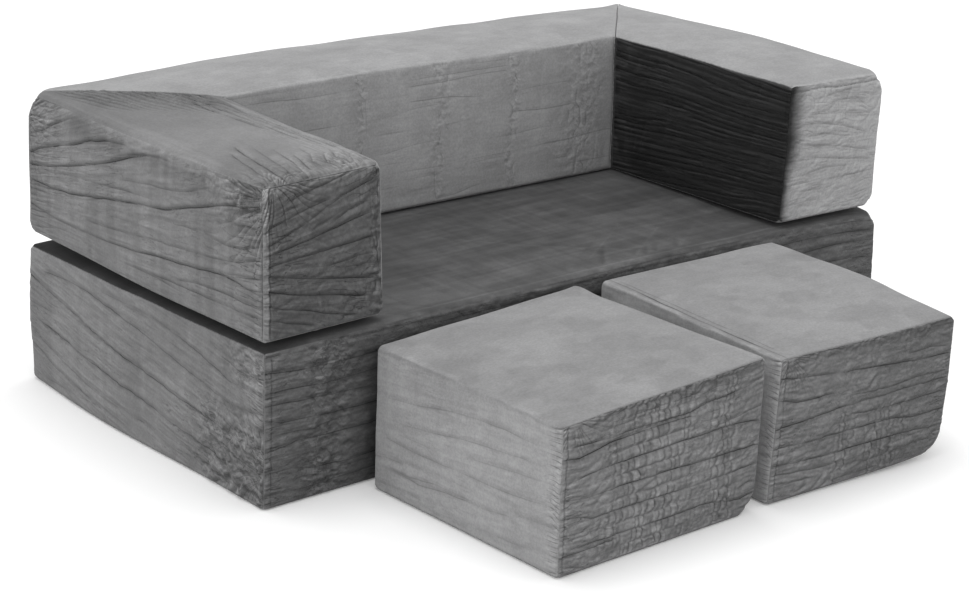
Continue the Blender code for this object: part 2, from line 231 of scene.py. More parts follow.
def block_blank(name, block):
    """Cuts a block's blank: a cube moved to its plan, with its edges rounded."""
    form = bmesh.new()
    bmesh.ops.create_cube(form, size=1)
    weight = form.edges.layers.float.new("bevel_weight_edge")
    for corner in form.verts:
        place = {(False, False): 0, (True, False): 1, (True, True): 2, (False, True): 3}[
            (corner.co.x > 0, corner.co.y > 0)]
        corner.co = (*block.plan[place], block.top if corner.co.z > 0 else block.floor)
    for edge in form.edges:
        middle = (edge.verts[0].co + edge.verts[1].co) / 2
        on_mitre = any(
            abs(out[0] * (middle.x - start[0]) + out[1] * (middle.y - start[1])) < ON_PLANE
            for start, out in (mitre_line(block.plan, side) for side in block.mitres))
        edge[weight] = MITRE_ROUND / EDGE_ROUND if on_mitre else 1.0
    piece = add_piece(name, mesh_from(form, name))
    rounding = piece.modifiers.new("rounding", "BEVEL")
    rounding.limit_method, rounding.width, rounding.segments = "WEIGHT", EDGE_ROUND, EDGE_STEPS
    rounding.use_clamp_overlap = False
    return applied(piece)


SIDES = ("front", "right", "rear", "left")


def mitre_line(plan, side):
    """Where one side of the plan starts, and the way it faces."""
    at = SIDES.index(side)
    (x, y), (u, v) = plan[at], plan[(at + 1) % 4]
    length = math.hypot(u - x, v - y)
    return (x, y), ((v - y) / length, (x - u) / length)


def cut_cloth_grid(piece, long_way, step):
    """Cuts the blank's flat sides into a grid fine enough for cloth."""

    def runs(edge):
        heading = (edge.verts[1].co - edge.verts[0].co).normalized()
        if abs(heading.z) > UPRIGHT:
            return "up"
        return "long" if abs(heading.dot(Vector(long_way))) > PARALLEL else "across"

    form = bmesh.new()
    form.from_mesh(piece.data)
    for way in ("long", "up", "across"):
        chosen = [edge for edge in form.edges if edge.calc_length() >= SHORTEST_CUT and runs(edge) == way]
        longest = max(edge.calc_length() for edge in chosen)
        bmesh.ops.subdivide_edges(form, edges=chosen, cuts=max(1, round(longest / step) - 1),
                                  use_grid_fill=True)
    form.to_mesh(piece.data)
    form.free()


BORDERS = ("left", "right", "low", "high")
NEIGHBOURS = {"front": ("left", "right", "bottom", "top"), "right": ("front", "rear", "bottom", "top"),
              "rear": ("right", "left", "bottom", "top"), "left": ("rear", "front", "bottom", "top"),
              "top": ("left", "right", "front", "rear"), "bottom": ("left", "right", "front", "rear")}


def smooth(low, high, value):
    """0 below low, 1 above high, and an easy step between them."""
    step = np.clip((value - low) / (high - low), 0, 1)
    return step * step * (3 - 2 * step)


def drift(u, v, seed):
    """Soft unevenness between -1 and 1, one lump to a unit."""
    u, v = np.broadcast_arrays(np.asarray(u, float) + 311.7, np.asarray(v, float) + 173.3)
    i, j = np.floor(u).astype(np.int64), np.floor(v).astype(np.int64)
    a, b = u - i, v - j
    a, b = a * a * a * (a * (a * 6 - 15) + 10), b * b * b * (b * (b * 6 - 15) + 10)

    def knot(x, y):
        mixed = (x * 374761393 + y * 668265263 + seed * 362437) & 0xFFFFFFFF
        mixed = ((mixed ^ (mixed >> 13)) * 1274126177) & 0xFFFFFFFF
        mixed = ((mixed ^ (mixed >> 15)) * 2246822519) & 0xFFFFFFFF
        return ((mixed ^ (mixed >> 16)) & 0xFFFF) / 32767.5 - 1

    low = knot(i, j) * (1 - a) + knot(i + 1, j) * a
    high = knot(i, j + 1) * (1 - a) + knot(i + 1, j + 1) * a
    return low * (1 - b) + high * b


def bell(value, wide):
    """1 at zero, and an even fall to nothing on both sides."""
    return np.exp(-(value / wide) ** 2)


LOFT, SHOULDER, PINCH = 0.65, 0.35, 0.10
CALM_CRINKLE, CALM_BUBBLE = 0.15, 0.08


class Crease:
    """What the creases of one panel add up to, point by point."""

    def __init__(self, spot):
        count = len(spot["s"])
        self.lift = np.zeros(count)
        # the tone at each point: the nap and random tone, with the panels' painted shade and painted highlights
        # multiplied in
        self.nap = np.ones(count)
        self.phase = [np.full(count, 0.5), np.full(count, 0.5)]
        self.line = [np.zeros(count), np.zeros(count)]
        self.run, self.flow = spot["s"].copy(), spot["t"].copy()
        self.crinkle, self.bubble = np.full(count, CALM_CRINKLE), np.full(count, CALM_BUBBLE)

    def fold(self, slot, phase, depth, height, soft=0.35, draw=1.0):
        """Presses valleys in at whole numbers of the phase, and lets the cloth rise between them."""
        off = np.abs(phase - np.round(phase))
        shoulder = smooth(0.12, 0.32, off) * (1 - smooth(0.36, 0.5, off))
        broad = 1 - np.sin(np.pi * off) ** LOFT - SHOULDER * shoulder
        self.lift -= height * depth * ((1 - soft) * bell(off, PINCH) + soft * broad)
        if draw:
            self.phase[slot] = phase
            self.line[slot] = draw * depth

    def mottle(self, s, t, *clouds):
        """Makes the nap lighter and darker in clouds: each is how much, its two sizes and its seed."""
        self.nap *= 1 + sum(share * drift(s / long, t / tall, seed) for share, long, tall, seed in clouds)

    def follow(self, flow, crinkle, bubble=0.1):
        """Sets the way the fine wrinkles run, and how strong the long and the round ones are."""
        self.flow, self.crinkle = flow, self.crinkle * 0 + crinkle
        self.bubble = self.bubble * 0 + bubble


LINE_PITCH, LINE_WAVER, LINE_FROM_BORDER = 0.010, 0.0007, 0.015
LINE_RUN_OUT, LINE_RUN_IN = 0.008, 0.018
VALLEY_WIDE, FLANK_WIDE, FLANK_OFF, RIDGE_HIGH, RIDGE_OFF = 0.0016, 0.006, 0.002, 0.30, 0.006
LINE_SHADE, SHADE_WIDE, SHADE_OFF = 0.17, 0.0045, 0.0015
FAR_OFF = 9.0


def draw_creases(spot, crease, lines, deep, seed, across=("s", "t")):
    """Presses in single creases; each is its strength, then the points in centimetres that it passes."""
    s, t = spot[across[0]], spot[across[1]]
    under, above, strong = np.zeros(len(s)), np.zeros(len(s)), np.zeros(len(s))
    nearest = np.full(len(s), FAR_OFF)
    for number, (strength, *way) in enumerate(lines):
        xs, ys = np.array(way, float).T / 100
        line = np.interp(s, xs, ys) + LINE_WAVER * drift(s / 0.025, number * 1.7, seed)
        ends = smooth(xs[-1] + LINE_RUN_OUT, xs[-1] - LINE_RUN_IN, s)
        if xs[0] > LINE_FROM_BORDER:
            ends = ends * smooth(xs[0] - LINE_RUN_OUT, xs[0] + LINE_RUN_IN, s)
        worn = strength * ends * np.clip(0.85 + 0.55 * drift(s / 0.035, number * 2.9, seed + 1), 0.25, 1.2)
        off = t - line
        crease.lift -= deep * worn * (0.65 * bell(off, VALLEY_WIDE) + 0.35 * bell(off + FLANK_OFF, FLANK_WIDE))
        crease.lift += RIDGE_HIGH * deep * worn * bell(off - RIDGE_OFF, FLANK_WIDE)
        crease.nap *= 1 - LINE_SHADE * worn * bell(off + SHADE_OFF, SHADE_WIDE)
        under += off > 0
        closer = np.abs(off) < nearest
        nearest = np.where(closer, np.abs(off), nearest)
        above = np.where(closer, off, above)
        strong = np.where(closer, worn, strong)
    reach = np.minimum(nearest / LINE_PITCH, 0.5)
    crease.phase[0] = under + np.where(above > 0, reach, 1 - reach)
    crease.line[0] = strong


NEXT_LINE = 1.37


def strengths(run, phase, reach, seed, low, high):
    """How deep each numbered crease is along its run: each comes and goes by itself."""
    return smooth(low, high, 0.5 + 0.5 * drift(run / reach, np.round(phase) * NEXT_LINE, seed))


def crumple(s, t, size, seed):
    """Bent, branching wrinkles: sharp valleys round soft lumps."""
    bend_s = s / size + 0.9 * drift(s / size / 1.7, t / size / 1.7, seed)
    bend_t = t / size + 0.9 * drift(s / size / 1.7, t / size / 1.7, seed + 1)
    first = 1 - np.abs(drift(bend_s, bend_t, seed + 2)) * 2
    second = 1 - np.abs(drift(bend_s * 1.9, bend_t * 1.9, seed + 3)) * 2
    return -0.5 * (first + 0.5 * second)


def radiate(spot, crease, place, reach, turns, seed, height, slot=1):
    """Wrinkles that spread from one place, as cloth does where a corner is gathered."""
    u, v = spot["s"] - place[0], spot["t"] - place[1]
    away = np.hypot(u, v)
    angle = np.arctan2(v, u) / math.tau
    phase = angle * turns + 0.5 * drift(away / 0.03, angle * 3, seed)
    depth = bell(away, reach) * smooth(0.004, 0.02, away)
    depth = depth * strengths(away, phase, 0.04, seed + 1, 0.2, 0.6)
    off = np.abs(phase - np.round(phase))
    crease.lift -= height * depth * (1 - np.sin(np.pi * off) ** LOFT)
    stronger = depth > crease.line[slot]
    crease.phase[slot] = np.where(stronger, phase, crease.phase[slot])
    crease.line[slot] = np.where(stronger, depth, crease.line[slot])


def plain_panel(spot, crease, seed=1, height=0.0006):
    """A panel that nobody sees in the photograph: calm cloth with a few faint creases."""
    s, t = spot["s"], spot["t"]
    phase = t / 0.021 + 0.8 * drift(s / 0.22, t / 0.05, seed)
    crease.fold(0, phase, strengths(s, phase, 0.12, seed + 1, 0.45, 0.95), height, draw=0.5)
    crease.lift += 0.0004 * drift(s / 0.05, t / 0.03, seed + 3)


def past_ends(local, along, length):
    """How far each point lies past either end of a slot."""
    return np.maximum(np.maximum(-local @ along, local @ along - length), 0)


def slot_distance(points, slot):
    """How far each point of a panel lies from the zip's slot, and 0 inside it."""
    _, origin, along, rise, _, length = slot
    local = points - origin
    return np.hypot(past_ends(local, along, length), np.maximum(np.abs(local @ rise) - SLOT_WIDTH / 2, 0))


VELVET_WORDS = ("nap", "seam", "run", "flow", "crinkle", "bubble", "phase_a", "line_a", "phase_b", "line_b")
LIFT_LIMITS = (-0.0030, 0.0048)
RELIEF_SHADING_GAIN, RELIEF_SHADING_LIMITS = 0.80, (0.55, 1.5)
FOLD_RAG, FOLD_REACH, FOLD_STEP_LIMITS = 0.006, 0.010, (0.4, 1.6)
HEM_HOLD, RIM_HOLD = 0.006, 0.35
GROOVE_DEEP, GROOVE_WIDE = 0.0009, 0.0022
PANEL_RUN, PANEL_FLOW = 3.7, 1.3


def dress_block(piece, block):
    """Lays the panels' creases on the fine cover, and keeps what the velvet's nodes need as attributes."""
    mesh = piece.data
    points = points_of(mesh)
    panels = block.panels()
    names = list(panels)
    depth = block.reaches(points)
    owner = np.argmax(depth, axis=0)
    lift, lit_and_pile_way = np.zeros(len(points)), np.zeros((len(points), 3))
    kept = {word: np.zeros(len(points)) for word in VELVET_WORDS}
    for at, name in enumerate(names):
        here = owner == at
        corner, along, rise, _ = panels[name]
        local = points[here] - corner
        spot = {"s": local @ along, "t": local @ rise, "point": points[here]}
        borders = list(zip(BORDERS, NEIGHBOURS[name]))
        for word, other in borders:
            spot[word] = depth[at][here] - depth[names.index(other)][here]
        spot["edge"] = np.min([spot[word] for word in BORDERS], axis=0)
        over = [word for word, other in borders if any({name, other} == set(pair) for pair in block.folded)]
        crease = Crease(spot)
        crease.sewn = np.min([spot[word] + (word in over) for word in BORDERS], axis=0)
        # each panel's tone: its nap, together with painted shade and painted light for how the panel is lit
        crease.nap *= block.naps.get(name, 1.0)
        block.looks.get(name, plain_panel)(spot, crease)
        for word, other in borders:
            if word in over and other not in block.quiet:
                rag = FOLD_RAG * drift(spot["s"] / 0.016, spot["t"] / 0.016, 151)
                change = np.clip(block.naps.get(other, 1.0) / block.naps.get(name, 1.0), *FOLD_STEP_LIMITS) - 1
                crease.nap *= 1 + 0.5 * smooth(FOLD_REACH, 0.0, spot[word] + rag) * change
        still = np.min([spot[word] + (other not in block.quiet) for word, other in borders], axis=0)
        shown = name not in block.quiet
        held = RIM_HOLD + (1 - RIM_HOLD) * smooth(0.0, HEM_HOLD, spot["edge"])
        held = held * smooth(0.0, HEM_HOLD, still) * shown
        if block.slot and block.slot[0] == name:
            held *= smooth(0.0005, 0.008, slot_distance(spot["point"], block.slot))
        lift[here] = crease.lift * held - (GROOVE_DEEP * bell(crease.sewn, GROOVE_WIDE) if shown else 0)
        lit_and_pile_way[here] = rise - (1.0 if name == "front" else 0.6) * along
        noted = (crease.nap, crease.sewn, crease.run + at * PANEL_RUN, crease.flow + at * PANEL_FLOW,
                 crease.crinkle * held, crease.bubble * held,
                 crease.phase[0], crease.line[0] * held, crease.phase[1], crease.line[1] * held)
        for word, values in zip(VELVET_WORDS, noted):
            kept[word][here] = values
    calm = normals_of(mesh)
    move_points(mesh, points + calm * np.clip(lift, *LIFT_LIMITS)[:, None])
    # painted shading: cloth tilted up by the creases is toned lighter and cloth tilted down darker, partly the
    # pile's tone, partly painted light from above
    tilt = np.einsum("ij,ij->i", normals_of(mesh) - calm, lit_and_pile_way)
    kept["nap"] *= np.clip(1 + RELIEF_SHADING_GAIN * tilt, *RELIEF_SHADING_LIMITS)
    for word, values in kept.items():
        mesh.attributes.new(word, "FLOAT", "POINT").data.foreach_set("value", values.astype(np.float32))
    mesh.polygons.foreach_set("use_smooth", [True] * len(mesh.polygons))


CROWN_SHARPNESS, FOAM_HOLD = 2.4, 0.075


def crown_along(points, block):
    """How far the foam lifts the cloth over its length: nothing at the long edges, most between them."""
    inside = dict(zip(block.panels(), -block.reaches(points)))
    near, far = [inside[side] for side in SIDES if side not in block.ends]
    share = np.clip(near / np.maximum(near + far, 1e-6), 0, 1)
    high = np.clip((points[:, 2] - block.floor) / (block.top - block.floor), 0, 1) ** 3
    lift = block.crown * (1 - np.abs(2 * share - 1) ** CROWN_SHARPNESS) * high
    for side, soft in block.ends.items():
        if soft:
            lift *= smooth(0, soft, inside[side])
    return lift


def foam_push(points, block):
    """How far the foam holds each panel out: nothing at the seams, most from a hand's width in."""
    reach = block.reaches(points)
    near = np.sort(reach, axis=0)
    owner = np.argmax(reach, axis=0)
    most = np.array([block.swell.get(name, 0.0) for name in block.panels()])[owner]
    return most * smooth(0.0, FOAM_HOLD, near[-1] - near[-2]), most, owner


def soften(points, block):
    """Rounds corners and edges as worn foam does: a soft spot is a place on the block's box, and a radius."""
    plan, floor = np.array(block.plan), block.floor
    start, heading = plan[0], plan[1] - plan[0]
    along = heading / np.linalg.norm(heading)
    turn = np.array(((*along, 0), (-along[1], along[0], 0), (0, 0, 1)))
    local = (points - (*start, floor)) @ turn.T
    corners = (plan - start) @ turn[:2, :2].T
    low, high = np.array((*corners.min(axis=0), 0)), np.array((*corners.max(axis=0), block.top - floor))
    for place, radius in block.soft:
        kept = [way for way in range(3) if place[way] != 0.5]
        toward = np.array([1.0 if place[way] == 0 else -1.0 for way in kept])
        planes = np.array([(low, high)[place[way]][way] for way in kept])
        inside = np.clip((local[:, kept] - planes) * toward, 0, None)
        fade = smooth(0.0, 1.7 * radius, inside.max(axis=1)) if len(kept) == 3 else np.zeros(len(local))
        size = radius * (1 - fade)[:, None]
        pull = np.clip(size - inside, 0, None)
        reach = np.linalg.norm(pull, axis=1)[:, None]
        local[:, kept] += toward * pull * np.clip(reach - size, 0, None) / np.maximum(reach, 1e-9)
    return local @ turn + (*start, floor)


BLOWN_GAIN, BLOWN_LIMIT, BLOWN_SLACK = 1.25, 1.5, 0.0002


def fit_cover(block):
    """Sews one cover's form: blank, cloth grid, the foam's push from inside, then fine cloth."""
    piece = block_blank(block.name + "_velvet_cover", block)
    cut_cloth_grid(piece, block.long_way, block.step)
    mesh = piece.data
    rest = points_of(mesh)
    push, most, owner = foam_push(rest, block)
    normals = normals_of(mesh)
    push_out(piece)
    blown = points_of(evaluated(piece))
    piece.modifiers.clear()
    rise = np.clip(np.einsum("ij,ij->i", blown - rest, normals), 0, None)
    for side in range(6):
        here = owner == side
        rise[here] *= BLOWN_GAIN * most[here] / max(np.percentile(rise[here], 95), 1e-6)
    push = np.maximum(push, np.minimum(rise, BLOWN_LIMIT * push + BLOWN_SLACK))
    hold_out(piece, block, rest + normals * push[:, None], rest, 2)
    if block.fine:
        cut_finer(piece, block)
    move_points(piece.data, soften(points_of(piece.data), block))
    if block.slot:
        press_slot(piece, block.slot, SLOT_WIDTH, SLOT_DEPTH)
    return piece


def hold_out(piece, block, pushed, rest, levels):
    """Moves the cloth's points out, adds the foam's crown, and cuts the cloth finer."""
    if block.crown:
        pushed[:, 2] += crown_along(rest, block)
    move_points(piece.data, pushed)
    finer = piece.modifiers.new("finer", "SUBSURF")
    finer.levels = finer.render_levels = levels
    applied(piece)


def cut_finer(piece, block):
    """Cuts the gathered panels once more, fine enough for their puckers."""
    form = bmesh.new()
    form.from_mesh(piece.data)
    form.faces.ensure_lookup_table()
    owner = np.argmax(block.reaches(np.array([face.calc_center_median() for face in form.faces])), axis=0)
    chosen = {edge for at, name in enumerate(block.panels()) if name in block.fine
              for face in np.flatnonzero(owner == at) for edge in form.faces[face].edges}
    bmesh.ops.subdivide_edges(form, edges=list(chosen), cuts=1, use_grid_fill=True)
    form.to_mesh(piece.data)
    form.free()


def normals_of(mesh):
    """The mesh's point normals as an array."""
    flat = np.empty(len(mesh.vertices) * 3)
    mesh.vertices.foreach_get("normal", flat)
    return flat.reshape(-1, 3)


SLOT_WIDTH, SLOT_DEPTH = 0.014, 0.0064
SLOT_ROUND_ABOUT, PANEL_BACK, CUT_SLACK = 0.020, -0.012, 1e-5


def press_slot(piece, slot, width, depth, extra=0.0, lip=0.0006):
    """Turns the zip's slot into a panel: cuts round it, then presses its floor in."""
    _, origin, along, rise, out, length = slot
    start, length, low, high = -extra, length + 2 * extra, -width / 2, width / 2
    form = bmesh.new()
    form.from_mesh(piece.data)
    near = []
    for face in form.faces:
        if face.normal.dot(Vector(out)) > 0.5:
            local = np.array(face.calc_center_median()) - origin
            if (start - SLOT_ROUND_ABOUT < local @ along < start + length + SLOT_ROUND_ABOUT
                    and low - SLOT_ROUND_ABOUT < local @ rise < high + SLOT_ROUND_ABOUT
                    and local @ out > PANEL_BACK):
                near.append(face)
    geom = near + list({edge for face in near for edge in face.edges})
    geom += list({point for face in near for point in face.verts})
    for way, cuts in ((along, (start, start + lip, start + length - lip, start + length)),
                      (rise, (low, low + lip, high - lip, high))):
        for cut in cuts:
            geom = bmesh.ops.bisect_plane(form, geom=geom, dist=1e-6, plane_co=origin + way * cut,
                                          plane_no=way)["geom"]
    for point in form.verts:
        local = np.array(point.co) - origin
        if (local @ out > PANEL_BACK
                and start + lip - CUT_SLACK < local @ along < start + length - lip + CUT_SLACK
                and low + lip - CUT_SLACK < local @ rise < high - lip + CUT_SLACK):
            point.co -= Vector(out * (local @ out + depth))
    form.to_mesh(piece.data)
    form.free()


def zip_slot(side, origin, along, rise, out, length):
    """Where a zip's slot starts, its two ways, the way it faces, and how long it is."""
    return side, np.array(origin), np.array(along, float), np.array(rise, float), np.array(out, float), length


PRESS_FORCE, PRESS_QUALITY, PRESS_FRAMES = 4, 4, 12


def push_out(piece):
    """Cloth pushed out from inside, as the foam pushes the sewn cover."""
    cloth = piece.modifiers.new("cloth", "CLOTH")
    cloth.settings.quality = PRESS_QUALITY
    cloth.settings.use_pressure = True
    cloth.settings.uniform_pressure_force = PRESS_FORCE
    cloth.settings.effector_weights.gravity = 0
    cloth.collision_settings.use_collision = False
    cloth.point_cache.frame_start, cloth.point_cache.frame_end = 1, PRESS_FRAMES
    for moment in range(1, PRESS_FRAMES + 1):
        bpy.context.scene.frame_set(moment)


VELVET_TINT = (0.235, 0.235, 0.237)
VELVET_LINE_SHADE = (("a", 0.125, 0.74), ("b", 0.15, 0.55))
# each wrinkle: its attribute, its run and flow scales, its width, its painted shade, and the gain of its
# painted shading by slope
VELVET_WRINKLES = (("crinkle", 13.0, 118.0, 0.020, 0.62, 1.3), ("bubble", 70.0, 90.0, 0.034, 0.52, 2.6))
VELVET_PAINTED_HIGHLIGHT, STITCH_DARK = 0.12, 0.4
VELVET_BUMP = {"Strength": 0.7, "Distance": 0.0015}
VELVET_BODY = {"Roughness": 0.88, "Specular IOR Level": 0.25, "Sheen Weight": 0.14, "Sheen Roughness": 0.45,
               "Sheen Tint": (0.75, 0.75, 0.76, 1)}


def velvet(name, tint):
    """Short pile velvet: tone from the nap and painted shading, mottled, with painted shade along its creases.
    """
    paint = bpy.data.materials.new(name)
    tree = bare_tree(paint)
    place = node_of(tree, "ShaderNodeTexCoord").outputs["Object"]

    def attribute(word):
        return node_of(tree, "ShaderNodeAttribute", attribute_name=word).outputs["Fac"]

    def sum_node(operation, *values, clamp=False):
        node = node_of(tree, "ShaderNodeMath", operation=operation, use_clamp=clamp)
        for socket, value in zip(node.inputs, values):
            if isinstance(value, (int, float)):
                socket.default_value = value
            else:
                join(tree, (value, socket))
        return node.outputs[0]

    def times(a, b):
        return sum_node("MULTIPLY", a, b)

    def plus(a, b):
        return sum_node("ADD", a, b)

    def minus(a, b):
        return sum_node("SUBTRACT", a, b)

    def darkened(value, mark, dark):
        return times(value, sum_node("SUBTRACT", 1.0, times(mark, dark), clamp=True))

    def spread(value, low, high, to_low, to_high):
        node = node_of(tree, "ShaderNodeMapRange",
                       {"From Min": low, "From Max": high, "To Min": to_low, "To Max": to_high},
                       interpolation_type="SMOOTHSTEP")
        join(tree, (value, node.inputs["Value"]))
        return node.outputs["Result"]

    def noise(scale, detail, rough=0.5, where=place):
        node = node_of(tree, "ShaderNodeTexNoise", {"Scale": scale, "Detail": detail, "Roughness": rough})
        join(tree, (where, node.inputs["Vector"]))
        return node.outputs["Fac"]

    drawn = node_of(tree, "ShaderNodeMapping", {"Scale": (1, 1.5, 1)})
    join(tree, (place, drawn.inputs["Vector"]))
    pile = noise(270, 3, 0.75)
    tone = times(spread(noise(11, 4, 0.6), 0.3, 0.7, 0.93, 1.07),
                 spread(noise(30, 3, 0.6, drawn.outputs[0]), 0.3, 0.7, 0.96, 1.04))
    tone = times(tone, spread(pile, 0.32, 0.68, 0.91, 1.09))
    marks = []
    # painted shade darkens the colour along each crease line
    for side, width, dark in VELVET_LINE_SHADE:
        far = sum_node("PINGPONG", attribute("phase_" + side), 0.5)
        marks.append(times(spread(far, 0.0, width, 1.0, 0.0), attribute("line_" + side)))
        tone = darkened(tone, marks[-1], dark)
    patches = spread(noise(7.0, 2), 0.40, 0.60, 0.20, 1.0)
    wrinkled = []
    for word, run_scale, flow_scale, fine, dark, gain in VELVET_WRINKLES:
        levels = []
        for shift in (-0.16, 0.16):
            line_up = node_of(tree, "ShaderNodeCombineXYZ")
            waves = node_of(tree, "ShaderNodeTexNoise",
                            {"Scale": 1.0, "Detail": 2.5, "Roughness": 0.5, "Distortion": 0.3})
            join(tree, (times(attribute("run"), run_scale), line_up.inputs[0]),
                 (plus(times(attribute("flow"), flow_scale), shift), line_up.inputs[1]),
                 (line_up.outputs[0], waves.inputs["Vector"]))
            levels.append(minus(waves.outputs["Fac"], 0.5))
        amount = times(attribute(word), patches)
        # painted shade in the wrinkle's valley, a painted highlight line beside it, and painted shading by its
        # slope
        sharp, highlight_beside = (times(spread(sum_node("ABSOLUTE", level), 0.0, fine, 1.0, 0.0), amount)
                        for level in levels)
        slope_shading = times(minus(levels[1], levels[0]), attribute(word))
        tone = times(darkened(tone, sharp, dark), plus(1.0, times(highlight_beside, VELVET_PAINTED_HIGHLIGHT)))
        tone = times(tone, minus(1.0, times(slope_shading, gain)))
        wrinkled.append(minus(times(times(levels[0], attribute(word)), 1.2), times(sharp, 0.5)))
    stitched = times(spread(attribute("seam"), 0.0003, 0.0016, 1.0, 0.0),
                     spread(noise(150, 0), 0.45, 0.55, 0.35, 1.0))
    tone = times(times(tone, minus(1.0, times(stitched, STITCH_DARK))), attribute("nap"))
    colour = node_of(tree, "ShaderNodeMix", data_type="RGBA", blend_type="MULTIPLY")
    colour.inputs[0].default_value = 1.0
    colour.inputs[6].default_value = (*tint, 1)
    grey = node_of(tree, "ShaderNodeCombineColor")
    pressed = plus(times(marks[0], 0.5), plus(times(marks[1], 0.35), times(stitched, 0.5)))
    bump = node_of(tree, "ShaderNodeBump", VELVET_BUMP)
    body = node_of(tree, "ShaderNodeBsdfPrincipled", VELVET_BODY)
    join(tree, *((tone, socket) for socket in grey.inputs), (grey.outputs[0], colour.inputs[7]),
         (minus(plus(times(pile, 0.10), plus(*wrinkled)), pressed), bump.inputs["Height"]),
         (colour.outputs[2], body.inputs["Base Color"]), (bump.outputs[0], body.inputs["Normal"]),
         (body.outputs[0], node_of(tree, "ShaderNodeOutputMaterial").inputs["Surface"]))
    return paint


def plan_shares(points, plan):
    """How far along and how deep in a four-sided plan each point lies, as shares from 0 to 1."""
    a, b, c, d = (np.array(corner, float) for corner in plan)
    side, deep, twist = b - a, d - a, c - b - d + a
    share = np.full((len(points), 2), 0.5)
    for _ in range(8):
        u, v = share.T
        off = a + u[:, None] * side + v[:, None] * deep + (u * v)[:, None] * twist - points[:, :2]
        du, dv = side + v[:, None] * twist, deep + u[:, None] * twist
        size = du[:, 0] * dv[:, 1] - du[:, 1] * dv[:, 0]
        share[:, 0] -= (off[:, 0] * dv[:, 1] - off[:, 1] * dv[:, 0]) / size
        share[:, 1] -= (du[:, 0] * off[:, 1] - du[:, 1] * off[:, 0]) / size
    return np.clip(share, -0.1, 1.1).T


WAVER_SIZE, WAVER, WAVER_FOOT = 0.085, 0.0010, 0.03
SLOT_CALM = (0.006, 0.020)


def settle(points, block):
    """Lets the soft block settle: its corners move by the shifts, in millimetres, the rest follows."""
    high = points[:, 2] - block.floor
    shares = (*plan_shares(points, block.plan), high / (block.top - block.floor))
    shares = [np.clip(share, 0, 1) for share in shares]
    moved = np.zeros_like(points)
    for corner, shift in block.shifts.items():
        near = [(share if at else 1 - share) ** power for share, at, power in zip(shares, corner, block.reach)]
        moved += np.prod(near, axis=0)[:, None] * np.array(shift) / 1000
    x, y, z = (points / WAVER_SIZE).T
    waver = np.stack([drift(y + 0.6 * z, z + 0.4 * x, 141), drift(x + 0.6 * z, z + 0.4 * y, 142),
                      drift(x, y, 143)], axis=1)
    moved += WAVER * waver * (1, 1, 0.8) * np.clip(high / WAVER_FOOT, 0, 1)[:, None]
    for place, size, shift in block.tugs:
        moved += bell(np.linalg.norm(points - place, axis=1), size)[:, None] * np.array(shift) / 1000
    if block.slot:
        _, origin, along, rise, out, length = block.slot
        local = points - origin
        away = np.sqrt(past_ends(local, along, length) ** 2 + (local @ rise) ** 2 + (local @ out) ** 2)
        moved *= smooth(*SLOT_CALM, away)[:, None]
    return points + moved


grey_velvet = velvet("grey_velvet", VELVET_TINT)


def coat(mesh, paint):
    """Gives the whole mesh one material."""
    mesh.materials.clear()
    mesh.materials.append(paint)


def sew_cover(block):
    """Makes one block's cover and the foam inside it, and hands both to the block's body."""
    piece = fit_cover(block)
    dress_block(piece, block)
    move_points(piece.data, settle(points_of(piece.data), block))
    coat(piece.data, grey_velvet)
    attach(piece, block.body)
    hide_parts(block.name + "_cover")
    core = cut_foam(block)
    move_points(core.data, settle(points_of(core.data), block))
    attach(core, block.body)
    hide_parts(block.name + "_foam")
    return block


def grained_paint(name, body_inputs, kind, grain_inputs, dark, pale, **grain_settings):
    """A plain surface whose colour wavers between two tones, with a grain laid in the piece's own space."""
    paint = bpy.data.materials.new(name)
    paint.use_nodes = True
    tree = paint.node_tree
    body = tree.nodes["Principled BSDF"]
    for key, value in body_inputs.items():
        body.inputs[key].default_value = value
    place = node_of(tree, "ShaderNodeTexCoord").outputs["Object"]
    grain = node_of(tree, kind, grain_inputs, **grain_settings)
    tint = node_of(tree, "ShaderNodeValToRGB")
    tint.color_ramp.elements[0].color, tint.color_ramp.elements[1].color = (*dark, 1), (*pale, 1)
    join(tree, (place, grain.inputs["Vector"]), (grain.outputs["Fac"], tint.inputs["Fac"]),
         (tint.outputs["Color"], body.inputs["Base Color"]))
    return paint, tree, body, place, grain.outputs["Fac"]


def bumped(tree, body, height, strength, distance):
    """Raises a surface's grain by a height."""
    bump = node_of(tree, "ShaderNodeBump", {"Strength": strength, "Distance": distance})
    join(tree, (height, bump.inputs["Height"]), (bump.outputs[0], body.inputs["Normal"]))


def open_cell_foam():
    """Pale open-cell foam: small pits between thin walls, a little yellowed."""
    paint, tree, body, place, _ = grained_paint(
        "open_cell_foam", {"Roughness": 0.95, "Specular IOR Level": 0.2}, "ShaderNodeTexNoise",
        {"Scale": 14.0, "Detail": 3.0}, (0.62, 0.56, 0.40), (0.80, 0.76, 0.62))
    cells = node_of(tree, "ShaderNodeTexVoronoi", {"Scale": 420.0})
    join(tree, (place, cells.inputs["Vector"]))
    bumped(tree, body, cells.outputs["Distance"], 0.6, 0.001)
    return paint


pale_foam = open_cell_foam()
FOAM_INSET, FOAM_STEP = 0.0034, 0.035
GROOVE_ROOM, GROOVE_MORE, GROOVE_END = 0.004, 0.0025, 0.002


